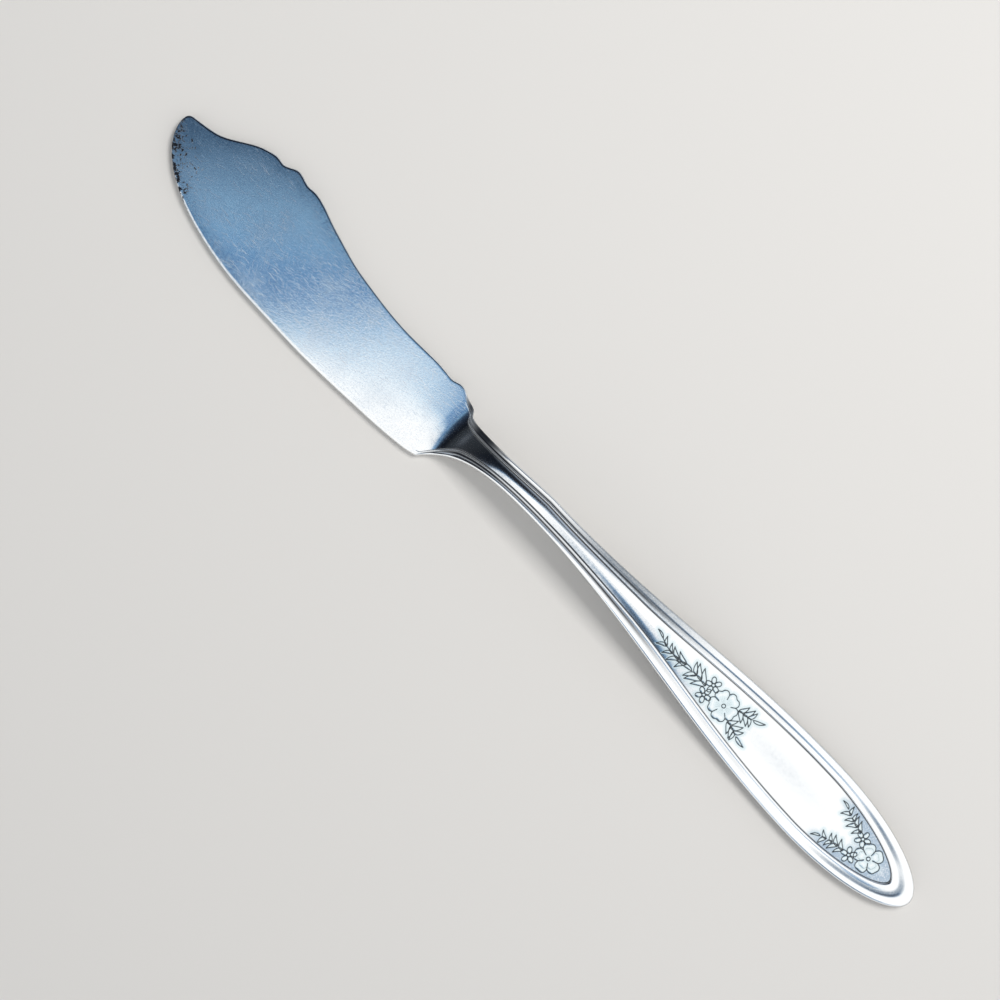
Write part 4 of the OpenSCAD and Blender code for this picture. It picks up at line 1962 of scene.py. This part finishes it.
@dataclass
class ButterKnife:
    """The knife: its struck blank and the silver on it.

    Attributes:
        form: The knife's sizes.
        placing: Where it lies in the frame.
        pitch: How fine its skin is.
        strike: How deep its sprays are struck.
        neck_spray_at: Middle of the spray towards the neck, in millimetres.
        end_spray_at: Middle of the spray in the panel's end, in millimetres.
    """

    form: KnifeForm
    placing: Placing
    pitch: Pitch
    strike: Strike
    neck_spray_at: Pair = (134.95, -0.35)
    end_spray_at: Pair = (170.7, 0.0)

    def drawing(self, material: Material) -> Object:
        """Draws both sprays flat under the panel, as the die had them.

        Args:
            material: Any material, for the motifs to bear.

        Returns:
            The drawing's object.
        """
        trees = LineTrees(material)
        carrier = new_object("carrier", bpy.data.meshes.new("carrier"))
        points: list[Any] = []
        edges: list[Any] = []
        faces: list[Any] = []
        for spray in (neck_spray(self.neck_spray_at), end_spray(self.end_spray_at)):
            for mesh in spray.meshes(trees, carrier):
                first = len(points)
                points += [v.co.copy() for v in mesh.vertices]
                edges += [[first + k for k in e.vertices] for e in mesh.edges]
                faces += [[first + k for k in p.vertices] for p in mesh.polygons]
                bpy.data.meshes.remove(mesh)
        bpy.data.objects.remove(carrier)
        drawn = bpy.data.meshes.new("spray_drawing")
        drawn.from_pydata(points, edges, faces)
        origin = Vector((self.placing.tip.x, self.placing.tip.y, 0.0))
        drawn.transform(Matrix.Translation(origin) @ Matrix.Scale(self.placing.mm, 4))
        return new_object("spray_drawing", drawn)

    def silver(self, material: Material) -> Object:
        """Builds the silver plate's skin with the sprays struck into it.

        Args:
            material: The silver's material.

        Returns:
            The skin's object.
        """
        plain = new_object("plain_skin", KnifeSkin(self.form, self.placing, self.pitch).mesh("plain_skin"))
        drawing = self.drawing(material)
        struck = run_tree(plain, self.strike.tree(), self.strike.values(self.placing, drawing, material))
        for helper in (plain, drawing):
            bpy.data.objects.remove(helper)
        struck.name = "silver_skin"
        return new_object("silver_skin", struck)

    def blank(self, silver: Object, material: Material) -> Object:
        """Builds the blank's surface, one thickness of plate inside the silver's.

        Args:
            silver: The silver's object.
            material: The blank's material.

        Returns:
            The blank's object.
        """
        mesh = silver.data.copy()
        mesh.name = "struck_blank"
        points, normals = np.zeros((2, len(mesh.vertices) * 3), np.float32)
        mesh.vertices.foreach_get("co", points)
        mesh.vertices.foreach_get("normal", normals)
        mesh.vertices.foreach_set("co", points - normals * self.form.plate_t * self.placing.mm)
        mesh.materials.clear()
        mesh.materials.append(material)
        mesh.update()
        return new_object("struck_blank", mesh)

    def build(self, effects: Effects) -> None:
        """Builds both pieces and seats them on the frame.

        Args:
            effects: The shared shader groups.
        """
        silver = self.silver(SilverFinish().material(effects))
        blank = self.blank(silver, NickelSilverFinish().material(effects))
        for piece, node, slot in (
            (silver, "silver_plate", "silver"),
            (blank, "nickel_silver_blank", "nickel_silver"),
        ):
            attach(piece, "root")
            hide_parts(node)
            log.info("%s: %d faces for %s", piece.name, len(piece.data.polygons), node)


TENT_STOPS = (
    (0.00, (0.006, 0.008, 0.013, 1.0)),
    (0.20, (0.012, 0.016, 0.026, 1.0)),
    (0.34, (0.03, 0.045, 0.075, 1.0)),
    (0.43, (0.085, 0.16, 0.26, 1.0)),
    (0.455, (0.20, 0.345, 0.51, 1.0)),
    (0.471, (0.28, 0.48, 0.66, 1.0)),
    (0.486, (0.19, 0.37, 0.57, 1.0)),
    (0.500, (0.04, 0.14, 0.33, 1.0)),
    (0.513, (0.015, 0.08, 0.26, 1.0)),
    (0.527, (0.08, 0.23, 0.48, 1.0)),
    (0.543, (0.36, 0.59, 0.79, 1.0)),
    (0.562, (0.75, 0.87, 0.95, 1.0)),
    (0.585, (1.0, 1.0, 1.0, 1.0)),
)


@dataclass(frozen=True)
class Studio:
    """The camera over the knife, the light round it and the plain floor under it.

    Bands of the tent are given as the parts of a direction between which they fade.

    Attributes:
        placing: Where the knife lies in the frame.
        aim: Point of the drawing in the middle of the picture, in millimetres.
        view_w: Width of the picture at the blade's face, in millimetres.
        lens_angle: The camera's angle of view, in degrees.
        turn: Turn of the camera about its line of sight, in degrees.
        bright_side: Direction in which the tent grows brighter.
        base: Brightness of the tent's middle.
        corner_share: How much the tent's corners differ.
        corner_at: Where the corners change over.
        corner_turn: How far that place bends away towards the sides.
        corner_reach: Distance from it at which the corners are full.
        corner_fade: Band in which the corners fade out beyond the tip.
        wall: Colour of the low wall.
        wall_top: Band of the low wall's top.
        wall_side: Band in which the low wall ends beyond the tip.
        far_top: Band of the far wall's top beyond the tip.
        far_lift: Band of the faint light over the far wall.
        far_light: Share of that faint light.
        skirt: Colour of the bright skirt on the cutting side.
        skirt_top: Band of the skirt's top.
        skirt_side: Band in which the skirt begins.
        horizon: Colour of the horizon.
        horizon_top: Band of the horizon's top.
        strength: Strength of the tent's light.
        lamp_at: Place of the soft box, in millimetres.
        lamp_aim: Point that the soft box is turned to, in millimetres.
        lamp_power: Its power, in watts.
        lamp_size: Its size, in metres.
        floor_half: Half the floor's width, in metres.
        floor_drop: Depth of the floor under the table's plane, in metres.
        floor_colour: Colour of the floor.
        floor_roughness: Roughness of the floor.
    """

    placing: Placing
    aim: tuple[float, float, float] = (83.9, -4.35, 1.5)
    view_w: float = 169.2
    lens_angle: float = 32.0
    turn: float = 47.14
    bright_side: tuple[float, float, float] = (0.8, 0.0, 0.45)
    base: float = 0.2
    corner_share: float = 4.5
    corner_at: float = 0.06
    corner_turn: float = 0.26
    corner_reach: float = 0.25
    corner_fade: Pair = (-0.6, -0.38)
    wall: Colour = (0.38, 0.44, 0.53, 1.0)
    wall_top: Pair = (0.45, 0.78)
    wall_side: Pair = (-0.7, -0.4)
    far_top: Pair = (0.1, 0.28)
    far_lift: Pair = (0.5, 0.75)
    far_light: float = 0.06
    skirt: Colour = (0.90, 0.93, 0.96, 1.0)
    skirt_top: Pair = (0.3, 0.6)
    skirt_side: Pair = (-0.62, -0.3)
    horizon: Colour = (0.78, 0.78, 0.77, 1.0)
    horizon_top: Pair = (0.0, 0.08)
    strength: float = 1.12
    lamp_at: tuple[float, float, float] = (140.0, 290.0, 500.0)
    lamp_aim: Pair = (90.0, 0.0)
    lamp_power: float = 2.4
    lamp_size: float = 0.22
    floor_half: float = 2.0
    floor_drop: float = 0.00002
    floor_colour: Colour = (0.60, 0.58, 0.552, 1.0)
    floor_roughness: float = 0.9

    def camera(self) -> None:
        """Hangs the camera straight over the knife, turned as the photograph is."""
        data = bpy.data.cameras.new("camera")
        data.angle = math.radians(self.lens_angle)
        data.clip_start = 0.01
        height = self.view_w / 2 / math.tan(data.angle / 2)
        x, y, z = self.aim
        camera = new_object("camera", data)
        camera.location = self.placing.point(x, y, z + height)
        camera.rotation_euler = (0.0, 0.0, math.radians(self.turn))
        bpy.context.scene.camera = camera

    def tent_ramp(self, wiring: Wiring, level: Value) -> Value:
        """Adds the colour ramp of the tent.

        Args:
            wiring: The tree to add to.
            level: How far a direction lies from the dark side towards the bright one.

        Returns:
            The tent's colour there.
        """
        node = wiring.node("ShaderNodeValToRGB", {"Fac": level})
        elements = node.color_ramp.elements
        while len(elements) < len(TENT_STOPS):
            elements.new(1.0)
        for element, (place, colour) in zip(elements, TENT_STOPS):
            element.position = place
            element.color = colour
        return Value(wiring, node.outputs[0])

    def world(self) -> None:
        """Surrounds the knife with a soft tent: white corners, dark ones, low walls and a pale horizon."""
        world = bpy.data.worlds.new("tent")
        world.use_nodes = True
        bpy.context.scene.world = world
        wiring = Wiring(world.node_tree)
        background = world.node_tree.nodes["Background"].inputs
        direction = wiring.add("ShaderNodeTexCoord", give="Generated")
        x, y, height = wiring.split(direction)
        lean = x - (y * y * self.corner_turn + self.corner_at)
        held = wiring.most(wiring.math("MINIMUM", lean, self.corner_reach), -self.corner_reach)
        corners = held * wiring.ramp(x, *self.corner_fade) * y * self.corner_share
        side = wiring.vectors("DOT_PRODUCT", direction, self.bright_side, "Value")
        tent = self.tent_ramp(wiring, side + corners + self.base)
        near = wiring.ramp(height, *self.wall_top, 1.0, 0.0) * wiring.ramp(x, *self.wall_side)
        far = wiring.ramp(height, *self.far_top, 1.0, 0.0)
        lift = wiring.ramp(height, *self.far_lift, self.far_light, 0.0)
        skirt = wiring.ramp(height, *self.skirt_top, 1.0, 0.0) * wiring.ramp(y, *self.skirt_side, 1.0, 0.0)
        wall = wiring.blend(wiring.most(near, far, lift), (0.0, 0.0, 0.0, 1.0), self.wall)
        walled = wiring.vectors("MAXIMUM", tent, wiring.blend(skirt, wall, self.skirt))
        colour = wiring.blend(wiring.ramp(height, *self.horizon_top), self.horizon, walled)
        wiring.feed(background["Color"], colour)
        wiring.feed(background["Strength"], self.strength)

    def key_light(self) -> None:
        """Hangs a soft box over the spine side, so that the arch's shadow falls towards the cutting side."""
        data = bpy.data.lights.new("soft_box", "AREA")
        data.energy = self.lamp_power
        data.size = self.lamp_size
        lamp = new_object("soft_box", data)
        lamp.location = self.placing.point(*self.lamp_at)
        lamp.visible_glossy = False
        target = self.placing.point(*self.lamp_aim)
        lamp.rotation_euler = (target - lamp.location).to_track_quat("-Z", "Y").to_euler()

    def floor(self) -> None:
        """Lays the plain pale floor."""
        half = self.floor_half
        square = ((-half, -half), (half, -half), (half, half), (-half, half))
        mesh = bpy.data.meshes.new("floor")
        mesh.from_pydata([(x, y, -self.floor_drop) for x, y in square], [], [(0, 1, 2, 3)])
        material, wiring, shader = new_material("pale_floor")
        wiring.feed(shader["Base Color"], self.floor_colour)
        wiring.feed(shader["Roughness"], self.floor_roughness)
        mesh.materials.append(material)
        new_object("floor", mesh)

    def build(self) -> None:
        """Sets up the camera, the light and the floor."""
        bpy.context.scene.view_settings.view_transform = "Standard"
        self.camera()
        self.world()
        self.key_light()
        self.floor()


def main() -> None:
    """Builds the knife and the studio round it."""
    logging.basicConfig(level=logging.INFO)
    form = KnifeForm()
    placing = Placing.on_frame(form)
    Studio(placing).build()
    ButterKnife(form, placing, Pitch(), Strike()).build(Effects())


if __name__ == "__main__":
    main()
